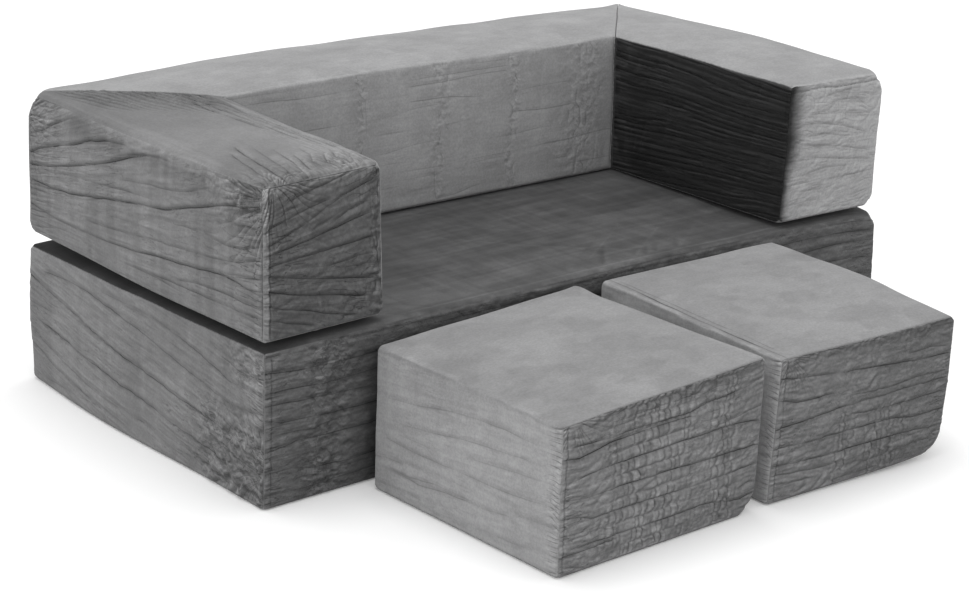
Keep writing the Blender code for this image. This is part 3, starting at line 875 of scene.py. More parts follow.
def cut_foam(block):
    """Cuts the foam core: the cover's own form, an inset smaller, with a groove behind the zip."""
    inner = copy.copy(block)
    inner.plan = inset_plan(block.plan, FOAM_INSET)
    inner.floor, inner.top = block.floor + FOAM_INSET, block.top - FOAM_INSET
    core = block_blank(block.name + "_foam_core", inner)
    cut_cloth_grid(core, block.long_way, FOAM_STEP)
    rest = points_of(core.data)
    hold_out(core, inner, rest + normals_of(core.data) * foam_push(rest, inner)[0][:, None], rest, 1)
    move_points(core.data, soften(points_of(core.data), inner))
    if block.slot:
        press_slot(core, block.slot, SLOT_WIDTH + GROOVE_ROOM, SLOT_DEPTH + GROOVE_MORE, extra=GROOVE_END)
    core.data.polygons.foreach_set("use_smooth", [True] * len(core.data.polygons))
    coat(core.data, pale_foam)
    return core


def inset_plan(plan, inset):
    """The plan with every side moved in by the inset."""
    lines = [mitre_line(plan, side) for side in SIDES]
    corners = []
    for at in range(4):
        (p, n), (q, m) = lines[at - 1], lines[at]
        a = n[0] * p[0] + n[1] * p[1] - inset
        b = m[0] * q[0] + m[1] * q[1] - inset
        size = n[0] * m[1] - n[1] * m[0]
        corners.append(((a * m[1] - b * n[1]) / size, (n[0] * b - m[0] * a) / size))
    return corners


HALF_WIDE, HALF_DEEP = 0.6, 0.32
SEAT_PLAN = ((-HALF_WIDE, -HALF_DEEP), (HALF_WIDE, -HALF_DEEP), (HALF_WIDE, HALF_DEEP), (-HALF_WIDE, HALF_DEEP))
SEAT_FLOOR, SEAT_TOP, ZIP_HEIGHT = 0.0, 0.230, 0.045
SEAT_LEFT_CREASES = (
    (1.0, (0, 17.9), (5, 17.0), (10, 15.9), (22, 13.7), (28, 12.6), (34, 11.9), (40, 11.0), (53, 9.3)),
    (1.0, (3, 11.1), (10, 10.2), (20, 8.9), (28, 7.8), (36, 6.9), (42, 6.1), (54, 4.5)),
    (0.8, (5, 19.6), (12, 20.0), (18, 19.8), (24, 19.1), (31, 18.1), (42, 16.0), (54, 13.7), (58, 13.1),
     (64, 13.9)), (0.6, (21, 20.9), (30, 20.7), (36, 20.2)),
    (0.8, (36, 20.5), (42, 20.0), (47, 18.9), (52, 17.8), (56, 16.7), (64, 16.5)),
    (0.7, (51, 21.2), (55, 19.5), (60, 18.6), (64, 19.0)),
    (0.5, (0, 9.7), (4, 7.9), (10, 6.6), (16, 5.3), (22, 4.3), (28, 4.0), (37, 3.4)),
    (0.7, (0, 6.3), (4, 5.8), (8, 4.4), (13, 3.6), (23, 2.3)), (0.5, (0, 13.6), (9, 13.5)),
    (0.4, (0, 15.9), (5, 15.0), (10, 14.7)), (0.6, (43, 3.7), (48, 2.9), (53, 2.0), (57, 0.8)),
    (0.4, (5, 1.4), (12, 1.8), (24, 2.4), (31, 1.6)), (0.3, (28, 15.6), (36, 14.4), (42, 13.0)))


def seat_left_panel(spot, crease):
    """Long creases fall towards the front corner, where the cloth is crumpled."""
    s, t = spot["s"], spot["t"]
    draw_creases(spot, crease, SEAT_LEFT_CREASES, 0.0031, 11)
    fall = t + 0.15 * s + 0.12 * np.clip(0.12 - t, 0, 1) * (1 - np.exp(-s / 0.10))
    fine = (t + 0.10 * s) / 0.0085 + 0.6 * drift(s / 0.08, t / 0.03, 13)
    corner = smooth(0.44, 0.54, s) * smooth(0.16, 0.09, t)
    right_rim = smooth(0.045, 0.004, spot["right"])
    crease.fold(1, fine, strengths(s, fine, 0.05, 14, 0.70, 1.0) * 0.35 + 0.9 * right_rim
                * strengths(s, fine, 0.02, 17, 0.2, 0.7), 0.0014, soft=0.6)
    crease.lift += 0.0062 * corner * crumple(s, t, 0.022, 15) + 0.0008 * crumple(s * 0.3, t, 0.02, 16)
    upper = smooth(0.50, 0.60, s) * smooth(0.14, 0.20, t)
    crease.lift += 0.0034 * upper * crumple(s, t, 0.015, 29)
    crease.follow(fall, 0.42 + 0.45 * right_rim + 0.3 * smooth(0.08, 0.0, spot["left"])
                  + 0.18 * drift(s / 0.1, t / 0.1, 18), 0.06 + 0.8 * np.maximum(corner, 0.7 * upper))
    crease.mottle(s, t, (0.09, 0.013, 0.16, 19), (0.12, 0.1, 0.06, 20))
    crease.nap *= 1 - 0.16 * smooth(0.40, 0.56, s) * smooth(0.2, 0.1, t)
    radiate(spot, crease, (0.64, 0.05), 0.10, 46, 27, 0.0026)


SEAT_FRONT_CREASES = (
    (0.8, (0, 19.8), (5, 19.4), (12, 19.2), (20, 19.3), (60, 19.5)),
    (0.9, (0, 16.9), (6, 16.9), (12, 16.6), (24, 16.9)), (0.6, (0, 15.2), (7, 14.9), (18, 14.4)),
    (1.0, (0, 13.2), (3, 12.4), (8, 12.2), (13, 11.9), (30, 12.2)),
    (0.8, (1, 8.5), (6, 9.2), (13, 8.9), (25, 9.2)), (0.9, (1, 5.6), (5, 5.2), (8, 4.5), (13, 4.2), (24, 4.5)),
    (0.5, (2, 10.8), (8, 10.5), (14, 10.9)), (0.5, (0, 2.2), (9, 1.8), (22, 2.2)), (0.4, (1, 7.0), (9, 7.0)),
    (0.8, (62, 20.8), (90, 20.3), (105, 20.6), (120, 20.2)), (0.7, (100, 18.2), (110, 18.6), (120, 18.3)),
    (0.7, (102, 15.8), (112, 15.9), (120, 15.2)), (0.5, (106, 13.0), (120, 12.6)),
    (0.6, (110, 9.6), (120, 9.9)), (0.5, (30, 21.3), (55, 21.2)), (0.5, (112, 5.6), (120, 5.2)))


def seat_front_panel(spot, crease):
    """Level creases, denser towards the left, over the long front."""
    s, t = spot["s"], spot["t"]
    draw_creases(spot, crease, SEAT_FRONT_CREASES, 0.0030, 21)
    fine = t / 0.009 + 0.6 * drift(s / 0.08, t / 0.03, 23)
    ends = np.maximum(smooth(0.06, 0.01, s), smooth(0.10, 0.02, spot["right"]))
    crease.fold(1, fine, strengths(s, fine, 0.05, 24, 0.6, 1.0) * (0.4 + 0.5 * ends), 0.0014, soft=0.6)
    crumpled = smooth(0.05, 0.09, s) * smooth(0.16, 0.12, s)
    crease.lift += (0.0018 + 0.0040 * crumpled) * crumple(s * 0.9, t, 0.020, 25)
    crease.follow(t, 0.60 + 0.3 * ends, 0.35 + 0.5 * crumpled)
    # painted shade: darker from the left end towards the left ottoman, with random tone
    crease.nap *= 1 - 0.25 * smooth(0.02, 0.2, s) + 0.07 * drift(s / 0.03, t / 0.1, 26)
    # painted shade, low on the front behind the ottomans
    crease.nap *= 1 - 0.35 * smooth(0.14, 0.21, s) * smooth(1.02, 0.96, s) * smooth(0.215, 0.17, t)
    crease.nap *= 1 + 0.22 * crumpled * np.clip(drift(s / 0.010, t / 0.004, 28), 0, 1)
    strip = smooth(0.013, 0.011, spot["left"])
    crease.nap *= (1 + 0.35 * strip) * (1 + 0.30 * smooth(0.011, 0.008, spot["high"]))
    ends_and_foot = np.min([spot[word] for word in ("left", "right", "low")], axis=0) + 0.01 * strip
    crease.sewn = np.min([np.abs(spot["left"] - 0.0135), np.abs(spot["high"] - 0.0105), ends_and_foot], axis=0)


SEAT_EDGE_TUCKS = ((0.635, 0.085, 0.0050, 1.0), (0.700, 0.030, 0.0045, 0.5), (0.722, 0.050, 0.0045, 0.7),
                   (0.742, 0.035, 0.0040, 0.6), (0.785, 0.045, 0.0045, 0.6), (0.560, 0.040, 0.0060, 0.3))
SEAT_BRUSHED_LINES = ((0, 0.0022, 0.30), (0.020, 0.006, -0.18), (-0.075, 0.003, 0.20), (-0.14, 0.004, 0.16))


def seat_top_panel(spot, crease):
    """Smooth and dark, with brushed streaks, pressed flat under the U; painted shade darkens it there, to the
    rear and by the left arm.
    """
    s, t = spot["s"], spot["t"]
    open_part = smooth(0.205, 0.225, s) * smooth(0.985, 0.965, s) * smooth(0.425, 0.405, t)
    streak = (s - 0.62 + 0.9 * (t - 0.05)) / 0.05
    phase = streak + 0.3 * drift(s / 0.1, t / 0.1, 31)
    crease.fold(0, phase, 0.5 * open_part * strengths(t, phase, 0.12, 32, 0.6, 1.0), 0.0010, soft=1.0, draw=0.3)
    crease.lift += 0.0007 * open_part * (1 + drift(s / 0.12, t / 0.12, 33))
    crease.follow(t, 0.10, 0.05)
    fuzz = 0.13 * drift(s / 0.007, t / 0.16, 34) + 0.16 * drift(s / 0.16, t / 0.007, 35)
    crease.nap *= 1 + fuzz + 0.10 * drift(s / 0.013, t / 0.013, 38)
    crease.mottle(s, t, (0.20, 0.15, 0.10, 36), (0.22, 0.06, 0.022, 37))
    line = (t - 0.12) + 0.7 * (0.72 - s)
    for away, wide, gain in SEAT_BRUSHED_LINES:
        reach = smooth(0.60, 0.66, s) * smooth(0.95, 0.8, s) * smooth(0.16, 0.10, t)
        crease.nap *= 1 + gain * bell(line - away, wide) * reach
    mark = bell(t - 0.345 - 0.1 * (s - 0.75), 0.008)
    crease.nap *= 1 - 0.22 * mark * smooth(0.66, 0.70, s) * smooth(0.82, 0.78, s)
    # painted shade: darker towards the backrest, and where the backrest and arms stand, where the nap is also
    # pressed
    crease.nap *= (1 - 0.15 * smooth(0.2, 0.42, t)) * (1 - 0.22 * (1 - open_part))
    # painted shadow along the left end, in the gap under the left arm
    crease.nap *= 1 - 0.55 * smooth(0.09, 0.02, s)
    # painted highlight: a light dashed line along the front edge
    dashes = 0.5 + 0.5 * drift(s / 0.006, 0, 39)
    crease.nap *= 1 + (0.30 + 0.25 * dashes) * bell(t - 0.017, 0.0018) * smooth(0.2, 0.3, s)
    # each tuck: a pressed valley with painted shade in it and a painted highlight beside it
    for start, length, wide, share in SEAT_EDGE_TUCKS:
        along = smooth(0.014, 0.034, t) * smooth(0.03 + length, 0.03 + 0.3 * length, t) * share
        off = s - start - 0.82 * (t - 0.03)
        crease.lift -= 0.0018 * along * bell(off, wide)
        crease.nap *= 1 - along * (0.26 * bell(off, wide) - 0.12 * bell(off - 2 * wide, wide))
    # painted highlight along the rounded front edge
    crease.nap *= 1 + 0.22 * bell(t - 0.004, 0.003) * smooth(0.2, 0.3, s)


SEAT_SOFT = [((x, y, z), 0.011) for x in (0, 1) for y in (0, 1) for z in (0, 1)]
SEAT_SOFT += [((1, 0, 1), 0.020), ((0, 0.5, 1), 0.010), ((0.5, 0, 1), 0.011)]
SEAT_SHIFTS = {(0, 0, 1): (2, -4, -2), (0, 0, 0): (-6, -8, 0), (0, 1, 1): (-3, -2, -11), (0, 1, 0): (-1, 4, 0),
               (1, 0, 1): (1, -5, -5), (1, 0, 0): (3, -7, 0)}
SEAT_TUGS = (((0.60, -0.32, 0.23), 0.045, (0, 0, -6)), ((-0.6, 0.10, -0.05), 0.22, (-15, 0, 0)),
             ((-0.6, 0.34, 0.12), 0.07, (-6, 0, 0)))
SEAT_SLOT = zip_slot("rear", (-0.45, HALF_DEEP, ZIP_HEIGHT), (1, 0, 0), (0, 0, 1), (0, 1, 0), 0.900)
seat = sew_cover(Block(
    "seat", SEAT_PLAN, SEAT_FLOOR, SEAT_TOP, long_way=(1, 0, 0),
    swell={"front": 0.003, "left": 0.003, "right": 0.003},
    looks={"left": seat_left_panel, "front": seat_front_panel, "top": seat_top_panel},
    naps={"left": 0.83, "front": 0.48, "top": 0.275}, quiet=("bottom",), step=0.016, slot=SEAT_SLOT,
    folded=(("front", "top"),), soft=SEAT_SOFT, shifts=SEAT_SHIFTS, tugs=SEAT_TUGS, reach=(3, 1, 1)))

# ---------------------------------------------------------- backrest block
# The backrest is a foam block with both ends cut at 45 degrees, so that the arms close against
# it. It stands on the seat by its own weight, and its ends are sewn to the arms at the rear.

REST_FLOOR, REST_TOP = 0.2303, 0.4603
MITRE_GAP = 0.0003
TOP_CROWN = 0.0050
INNER_WIDE, BACK_FRONT = 0.385, 0.105
BACK_PLAN = ((-INNER_WIDE + MITRE_GAP, BACK_FRONT), (INNER_WIDE - MITRE_GAP, BACK_FRONT),
             (HALF_WIDE - MITRE_GAP, HALF_DEEP), (-HALF_WIDE + MITRE_GAP, HALF_DEEP))


BACK_COLUMNS = ((0.245, 0.009, 1), (0.402, 0.016, 0.8), (0.55, 0.010, 0.9), (0.70, 0.040, 0.75))


def back_inner_panel(spot, crease):
    """Fine level lines, crossed by a few upright columns of puckers."""
    s, t = spot["s"], spot["t"]
    phase = t / 0.0130 + 0.8 * drift(s / 0.12, t / 0.02, 41)
    crease.fold(0, phase, strengths(s, phase, 0.07, 42, 0.50, 1.0), 0.0005, draw=0.36)
    sway = 0.008 * drift(0, t / 0.03, 43)
    column = np.clip(sum(share * bell(s - at - sway, wide) for at, wide, share in BACK_COLUMNS), 0, 1)
    upright = (s + 0.008 * drift(s / 0.02, t / 0.02, 44)) / 0.013
    crease.fold(1, upright, column * strengths(t, upright, 0.014, 45, 0.35, 0.9), 0.0009, soft=0.6, draw=0.7)
    crease.lift += 0.0004 * crumple(s, t, 0.03, 46) + 0.0010 * column * crumple(s, t, 0.014, 47)
    crease.follow(t, 0.11, 0.03 + 0.4 * column)
    crease.nap *= 1 - 0.12 * bell(s - 0.67, 0.03) * smooth(0.05, 0.12, t)
    crease.mottle(s, t, (0.03, 0.012, 0.08, 48), (0.03, 0.08, 0.05, 49))


def calm_top_panel(spot, crease, seed=50, cloud=0.055):
    """A smooth brushed top."""
    s, t = spot["s"], spot["t"]
    crease.lift += 0.0009 * drift(s / 0.09, t / 0.06, seed)
    crease.follow(t, 0.04, 0.04)
    blot = drift(s / 0.06, t / 0.045, seed + 1) + 0.6 * drift(s / 0.025, t / 0.02, seed + 2)
    crease.nap *= 1 + cloud * (smooth(-0.25, 0.25, blot) - 0.55) + 0.02 * drift(s / 0.012, t / 0.02, seed + 3)


BACK_SOFT = [((0, 1, 1), 0.028), ((0, 1, 0), 0.016), ((1, 1, 0), 0.016), ((1, 1, 1), 0.006)]
INNER_LEFT_SHIFTS, INNER_RIGHT_SHIFTS = ((0, 0, 0), (0, 0, 1)), ((8, -6, 0), (7, -6, 1))
OUTER_LEFT_SHIFTS, OUTER_RIGHT_SHIFTS = ((-1, 3, 5), (3, -3, -4)), ((0, 0, 0), (-4, 3, -3))
BACK_SHIFTS = {(i, j, k): pair[k] for (i, j), pair in {
    (0, 0): INNER_LEFT_SHIFTS, (1, 0): INNER_RIGHT_SHIFTS,
    (1, 1): OUTER_RIGHT_SHIFTS, (0, 1): OUTER_LEFT_SHIFTS}.items() for k in (0, 1)}
U_TUGS = (((0.6, 0.32, REST_TOP), 0.030, (1, 1, 3)), ((0.6, 0.32, REST_TOP), 0.06, (0, 0, -3)),
          ((-0.20, 0.32, 0.60), 0.28, (0, 0, 14)), ((0.12, 0.32, 0.60), 0.20, (0, 0, 7)),
          ((0.33, 0.32, 0.56), 0.13, (0, 0, 6)), ((0.6, -0.02, 0.58), 0.20, (0, 0, 8)))
BACK_SLOT = zip_slot("rear", (-0.35, HALF_DEEP, REST_FLOOR + ZIP_HEIGHT), (1, 0, 0), (0, 0, 1), (0, 1, 0),
                     0.700)
backrest = sew_cover(Block(
    "back", BACK_PLAN, REST_FLOOR, REST_TOP, long_way=(1, 0, 0), swell={"front": 0.003, "rear": 0.001},
    looks={"front": back_inner_panel, "top": calm_top_panel}, naps={"front": 1.31, "top": 1.11},
    quiet=("bottom", "left", "right"), mitres=("left", "right"),
    folded=(("front", "top"), ("top", "left"), ("top", "right")), crown=TOP_CROWN, ends={"left": 0, "right": 0},
    slot=BACK_SLOT, body="backrest", soft=BACK_SOFT, shifts=BACK_SHIFTS, tugs=U_TUGS))

# --------------------------------------------------------------- arm blocks
# Each arm is a shorter foam block with one end cut at 45 degrees. The nap of the two arms runs
# in opposite ways, and with painted shade one is light outside and the other nearly black inside.

LEFT_ARM_PLAN = ((-HALF_WIDE, -HALF_DEEP), (-INNER_WIDE, -HALF_DEEP),
                 (-INNER_WIDE, BACK_FRONT - MITRE_GAP), (-HALF_WIDE, HALF_DEEP - MITRE_GAP))
RIGHT_ARM_PLAN = ((INNER_WIDE, -HALF_DEEP), (HALF_WIDE, -HALF_DEEP),
                  (HALF_WIDE, HALF_DEEP - MITRE_GAP), (INNER_WIDE, BACK_FRONT - MITRE_GAP))
ARM_OUTER_CREASES = (
    (0.9, (0, 4.9), (5, 4.7), (10, 4.4), (18, 4.7), (25, 5.1), (32, 5.7), (40, 6.6), (48, 7.3), (55, 8.0),
     (64, 7.1)),
    (0.9, (0, 9.0), (7, 9.1), (13, 9.7), (20, 11.0), (27, 12.2), (33, 13.1), (40, 14.1), (46, 15.8),
     (56, 18.6), (61, 19.2)),
    (0.35, (18, 6.8), (28, 7.8), (35, 8.6), (45, 9.4), (52, 10.0), (58, 10.8), (63, 12.2)),
    (0.45, (2, 10.2), (8, 11.8), (14, 12.9), (22, 13.6), (30, 14.4), (37, 14.8)),
    (0.9, (0, 11.2), (5, 12.2), (10, 13.3), (15, 14.7), (20, 16.1), (25, 17.6), (30, 19.4), (35, 20.9)),
    (0.9, (0, 13.2), (5, 15.2), (10, 16.6), (14, 17.7), (19, 19.5), (24, 20.6), (29, 21.2)),
    (0.7, (0, 16.3), (5, 18.0), (8, 19.5), (13, 21.6)), (0.6, (26, 18.9), (30, 19.9), (36, 21.0), (41, 21.5)),
    (0.4, (28, 15.7), (36, 16.8), (41, 17.3), (46, 18.2), (50, 19.5)),
    (0.6, (43, 4.4), (48, 5.1), (55, 5.3), (64, 5.1)), (0.5, (36, 3.3), (44, 3.6), (50, 3.5), (64, 3.8)),
    (0.5, (56, 8.6), (60, 9.2), (64, 9.6)), (0.6, (49, 13.3), (55, 12.7), (59, 12.8), (64, 14.5)),
    (0.3, (37, 12.2), (45, 13.0), (52, 13.0)), (0.5, (0, 7.6), (6, 8.0)),
    (0.4, (28, 3.0), (36, 3.1), (44, 2.7)))


def left_arm_outer_panel(spot, crease):
    """Long creases spread upwards from the rear end."""
    s, t = spot["s"], spot["t"]
    draw_creases(spot, crease, ARM_OUTER_CREASES, 0.0031, 61)
    fan = (t + 0.04 * s) / (1 + 2.3 * s)
    fine = (t - 0.10 * s) / 0.0085 + 0.6 * drift(s / 0.08, t / 0.03, 63)
    left_rim, right_rim = smooth(0.10, 0.01, spot["left"]), smooth(0.09, 0.004, spot["right"])
    rims = np.maximum(left_rim, right_rim)
    crease.fold(1, fine, strengths(s, fine, 0.05, 64, 0.70, 1.0) * 0.3
                + 0.7 * rims * strengths(s, fine, 0.03, 65, 0.3, 0.7), 0.0014, soft=0.6)
    rear_top = smooth(0.14, 0.02, s) * smooth(0.14, 0.2, t)
    front_top = smooth(0.46, 0.58, s) * smooth(0.14, 0.2, t)
    crease.lift += 0.0008 * crumple(s * 0.35, t, 0.02, 66)
    crease.lift += 0.0034 * np.maximum(rear_top, front_top) * crumple(s * 0.6, t, 0.018, 67)
    crease.follow(fan * 1.6, 0.42 + 0.5 * rims + 0.18 * drift(s / 0.1, t / 0.1, 68),
                  0.05 + 0.6 * np.maximum(rear_top, front_top))
    crease.mottle(s, t, (0.13, 0.012, 0.14, 69), (0.12, 0.12, 0.06, 70))
    crease.nap *= 1 - 0.30 * front_top * smooth(-0.3, 0.4, drift(s / 0.03, t / 0.03, 58))
    # painted shadow in a band under the rounded top edge
    shadow_under_rim = smooth(0.014, 0.022, spot["high"]) * smooth(0.052, 0.028, spot["high"])
    crease.nap *= 1 - 0.20 * shadow_under_rim * smooth(0.10, 0.22, s) * smooth(0.60, 0.45, s)
    # painted highlight on the rounded top edge
    crease.nap *= 1 + 0.16 * smooth(0.012, 0.0, spot["high"]) * smooth(0.03, 0.12, s)
    radiate(spot, crease, (0.66, 0.21), 0.11, 60, 77, 0.0030)
    radiate(spot, crease, (-0.02, 0.19), 0.09, 52, 79, 0.0034)


ARM_FRONT_CREASES = (
    (0.9, (0, 11.0), (3, 11.5), (8, 11.9), (13, 12.1), (20, 12.3)),
    (0.8, (0, 12.8), (5, 13.5), (14, 15.2), (19, 15.9)),
    (0.9, (0, 13.8), (4, 15.3), (8, 16.8), (11, 18.2), (14, 19.3), (20, 20.8)),
    (0.7, (1, 16.6), (4, 17.7), (7.5, 18.5), (12, 19.3)), (0.8, (4, 20.1), (10, 21.3), (14, 22.0), (18, 22.9)),
    (1.0, (0, 10.0), (5, 9.1), (10, 8.0), (15, 7.0), (20, 6.1)),
    (1.0, (0, 8.0), (4, 6.9), (8, 5.9), (13, 4.9), (18, 3.7)),
    (0.8, (0, 5.8), (4, 4.6), (8, 3.6), (12, 2.2), (16, 1.3)), (0.6, (1, 3.7), (4, 2.5), (9, 1.1)),
    (0.6, (11, 9.6), (16, 10.1), (20, 9.8)), (0.5, (12.5, 9.2), (20, 8.4)),
    (0.6, (12, 15.8), (15, 17.0), (19, 17.7)), (0.4, (6, 14.8), (11, 16.2), (14, 17.4)))


def left_arm_front_panel(spot, crease):
    """Creases spread from the outer seam, and bubble along the inner edge."""
    s, t = spot["s"], spot["t"]
    draw_creases(spot, crease, ARM_FRONT_CREASES, 0.0030, 71)
    fan = 0.108 + (t - 0.108) / (1 + s / 0.31)
    rim = smooth(0.035, 0.006, spot["right"])
    upright = s / 0.011 + 0.7 * drift(s / 0.02, t / 0.02, 73)
    crease.fold(1, upright, rim * strengths(t, upright, 0.014, 74, 0.3, 0.7), 0.0026, soft=0.8)
    crease.lift += 0.0026 * crumple(s * 0.7, t, 0.015, 75) * (0.5 + rim)
    crease.follow(fan, 0.90, 0.34 + 0.6 * rim)
    strip = smooth(0.0130, 0.0100, spot["left"])
    crease.lift *= 1 - strip
    crease.line = [line * (1 - strip) for line in crease.line]
    crease.nap *= (1 + 1.3 * strip) * (1 + 0.08 * drift(s / 0.03, t / 0.04, 72))
    # the cloth rolled over the top edge: crumpled, with a painted highlight
    rolled_and_highlit = smooth(0.034, 0.004, spot["high"] + 0.10 * s + 0.012 * drift(s / 0.018, t / 0.012, 76))
    crease.nap *= 1 + 0.42 * rolled_and_highlit
    crease.lift += 0.0022 * rolled_and_highlit * crumple(s, t, 0.011, 77)
    crease.sewn = np.minimum(np.abs(spot["left"] - 0.0137), spot["edge"] + 0.01 * strip)
    radiate(spot, crease, (0.02, 0.235), 0.08, 52, 88, 0.0034)


ARM_TOP_CREASES = (
    (0.9, (9, 20.3), (25, 19.7), (46, 18.8)), (0.9, (11, 19.3), (28, 18.7), (46, 17.7)),
    (0.7, (15, 18.0), (30, 17.5), (44, 16.6)), (0.6, (22, 16.6), (42, 15.4)),
    (0.7, (0, 3.0), (6, 3.5), (15, 5.3)), (0.7, (0, 4.8), (8, 5.8), (18, 7.6)),
    (0.6, (1, 6.8), (8, 8.0), (16, 9.6)), (0.6, (1, 8.8), (7, 10.2), (13, 11.2)), (0.6, (2, 10.6), (9, 12.0)),
    (0.6, (2, 13.2), (5, 12.6), (8, 14.2), (11, 14.6)), (0.6, (1, 15.0), (4, 14.4), (7, 16.0)),
    (0.5, (2, 17.4), (5, 16.8), (9, 18.3)))


def left_arm_top_panel(spot, crease):
    """Lengthwise lines by the inner edge, and a comb of puckers along the mitre."""
    s, t = spot["s"], spot["t"]
    draw_creases(spot, crease, ARM_TOP_CREASES, 0.0046, 80, ("t", "s"))
    comb = (s + 0.22 * (t - 0.45)) / 0.0115 + 0.4 * drift(s / 0.03, t / 0.06, 81)
    near_mitre = smooth(0.12, 0.03, spot["high"])
    middle = smooth(0.02, 0.05, s) * smooth(0.20, 0.16, s)
    puckered = middle * near_mitre * strengths(t, comb, 0.03, 82, -0.1, 0.3)
    crease.fold(1, comb, puckered, 0.0070, soft=0.6, draw=2.2)
    front = smooth(0.11, 0.02, t)
    crease.lift += 0.0010 * drift(s / 0.05, t / 0.08, 85)
    crumpled = np.clip(front + 0.6 * near_mitre * middle, 0, 1)
    crease.lift += 0.0026 * crumpled * crumple(s, t * 0.5, 0.016, 86)
    crease.run = t
    band = smooth(0.070, 0.058, spot["right"]) * smooth(0.06, 0.12, t)
    crease.follow(s, 0.08 + 0.5 * np.clip(crumpled + band, 0, 1), 0.05 + 0.2 * front)
    crease.nap *= 1.0 - 0.27 * smooth(0.20, 0.50, t)
    # random tone, and a painted highlight along the rounded outer edge
    crease.nap *= 1 + 0.05 * drift(s / 0.03, t / 0.06, 87) + 0.14 * smooth(0.030, 0.0, spot["left"])
    # painted highlight streaks along the outer edge
    highlight_streaks = smooth(0.050, 0.010, spot["left"]) * smooth(0.10, 0.20, t) * smooth(0.60, 0.45, t)
    crease.nap *= 1 + 0.22 * highlight_streaks * smooth(-0.3, 0.5, drift(t / 0.12, s / 0.006, 99))
    crease.nap *= 1 - 0.16 * smooth(0.0, 0.5, drift(s / 0.02, t / 0.09, 84)) * near_mitre
    crease.nap *= 1 + 0.12 * smooth(0.10, 0.04, spot["right"]) * smooth(0.35, 0.2, t)
    # painted shade among the crumples at the front outer corner
    crumple_shade = smooth(0.16, 0.09, s) * smooth(0.20, 0.10, t) * smooth(-0.5, 0.3, drift(s / 0.03, t / 0.05, 90))
    crease.nap *= 1 - 0.20 * crumple_shade
    radiate(spot, crease, (0.02, -0.01), 0.06, 52, 89, 0.0030)


def right_arm_inner_panel(spot, crease):
    """Nap lying away from the light, and painted shade: nearly black, with many fine even lines and painted
    highlight lines.
    """
    s, t = spot["s"], spot["t"]
    level = t - 0.07 * s * smooth(0.2, 0.0, t) + 0.05 * s * smooth(0.12, 0.23, t)
    phase = level / 0.0105 + 0.5 * drift(s / 0.12, t / 0.04, 91)
    crease.fold(0, phase, strengths(s, phase, 0.08, 92, 0.2, 0.8), 0.0024, soft=0.6)
    fine = level / 0.0058 + 0.6 * drift(s / 0.05, t / 0.03, 93)
    crease.fold(1, fine, strengths(s, fine, 0.05, 94, 0.3, 0.8) * 0.8, 0.0011, soft=0.7)
    crease.lift += 0.0010 * crumple(s * 0.4, t, 0.02, 95)
    crease.follow(level, 0.9, 0.1)
    # painted highlights: fine light lines running with the creases
    highlight_lines = smooth(0.35, 0.75, 0.5 + 0.5 * drift(s / 0.11, level / 0.0022, 96))
    crease.nap *= 0.95 + 1.1 * highlight_lines + 0.15 * drift(s / 0.07, t / 0.05, 98)
    crumpled = smooth(0.050, 0.0, spot["left"]) * smooth(-0.4, 0.4, drift(s / 0.02, t / 0.012, 97))
    crease.nap *= 1 + 1.6 * crumpled + 1.2 * smooth(0.008, 0.0, spot["high"])


RIGHT_ARM_CREASES = (
    (0.7, (3.3, 16.4), (8.2, 16.0), (12.3, 15.2), (18.4, 13.2)),
    (0.7, (3.6, 12.8), (7.2, 12.5), (10.8, 11.9), (14.8, 11.2), (19.4, 10.1)),
    (0.5, (3.5, 14.3), (8.8, 14.2), (14.3, 13.3)), (0.5, (4.3, 10.8), (11, 9.8), (20, 8.5)),
    (0.5, (3.5, 7.7), (9.1, 8.5), (15, 8.1)), (0.5, (9.8, 6.3), (16, 6.5), (21, 6.6)),
    (0.4, (3.2, 5.0), (9.5, 4.9)), (0.5, (4.3, 17.9), (10.6, 17.5), (19.8, 16.4)),
    (0.5, (5.2, 20.0), (10.3, 20.9), (15.5, 21.2)), (0.4, (1.5, 2.8), (6, 3.2), (9, 3.0)),
    (0.4, (9, 18.3), (10.3, 20.2)), (0.4, (14, 20.2), (16.5, 18.6), (18.5, 18.3)),
    (0.4, (6, 18.4), (11, 19.6), (17, 19.2)), (0.3, (8, 7.0), (9, 4.2), (8.6, 2.4)))


def right_arm_front_panel(spot, crease):
    """Light, with fine creases that fall to the right, and the top seam brought down over it."""
    s, t = spot["s"], spot["t"]
    draw_creases(spot, crease, RIGHT_ARM_CREASES, 0.0014, 101)
    crease.line[0] *= 0.5
    fine = (t + 0.10 * s * smooth(0.08, 0.14, t) - 0.10 * s * smooth(0.10, 0.04, t)) / 0.0062
    fine = fine + 0.8 * drift(s / 0.03, t / 0.02, 106)
    crease.fold(1, fine, strengths(s, fine, 0.02, 107, 0.45, 0.9), 0.0006, soft=0.7, draw=0.45)
    crease.lift += 0.0009 * crumple(s * 0.7, t, 0.013, 103)
    crease.follow(t + 0.12 * s * smooth(0.08, 0.14, t) - 0.12 * s * smooth(0.10, 0.04, t), 0.26, 0.06)
    # near the inner edge the inner face's dark tone, its nap and painted shade, runs onto the front
    turn = spot["left"] + 0.005 * drift(0, t / 0.03, 104) + 0.0022 * drift(s / 0.010, t / 0.0035, 108)
    turned_and_shaded = smooth(0.026 + 0.018 * smooth(0.03, 0.15, t), -0.012, turn)
    crease.nap *= np.maximum((1 - turned_and_shaded) ** 1.7, 0.08)
    crease.mottle(s, t, (0.03, 0.03, 0.03, 102))
    down = 0.011 + 0.003 * drift(s / 0.05, 0, 105)
    over_top = 0.01 * smooth(0.011, 0.0, spot["high"])
    crease.sewn = np.minimum(np.abs(spot["high"] - down), spot["edge"] + over_top)


ARM_SWELL = {"front": 0.003, "left": 0.003, "right": 0.003}


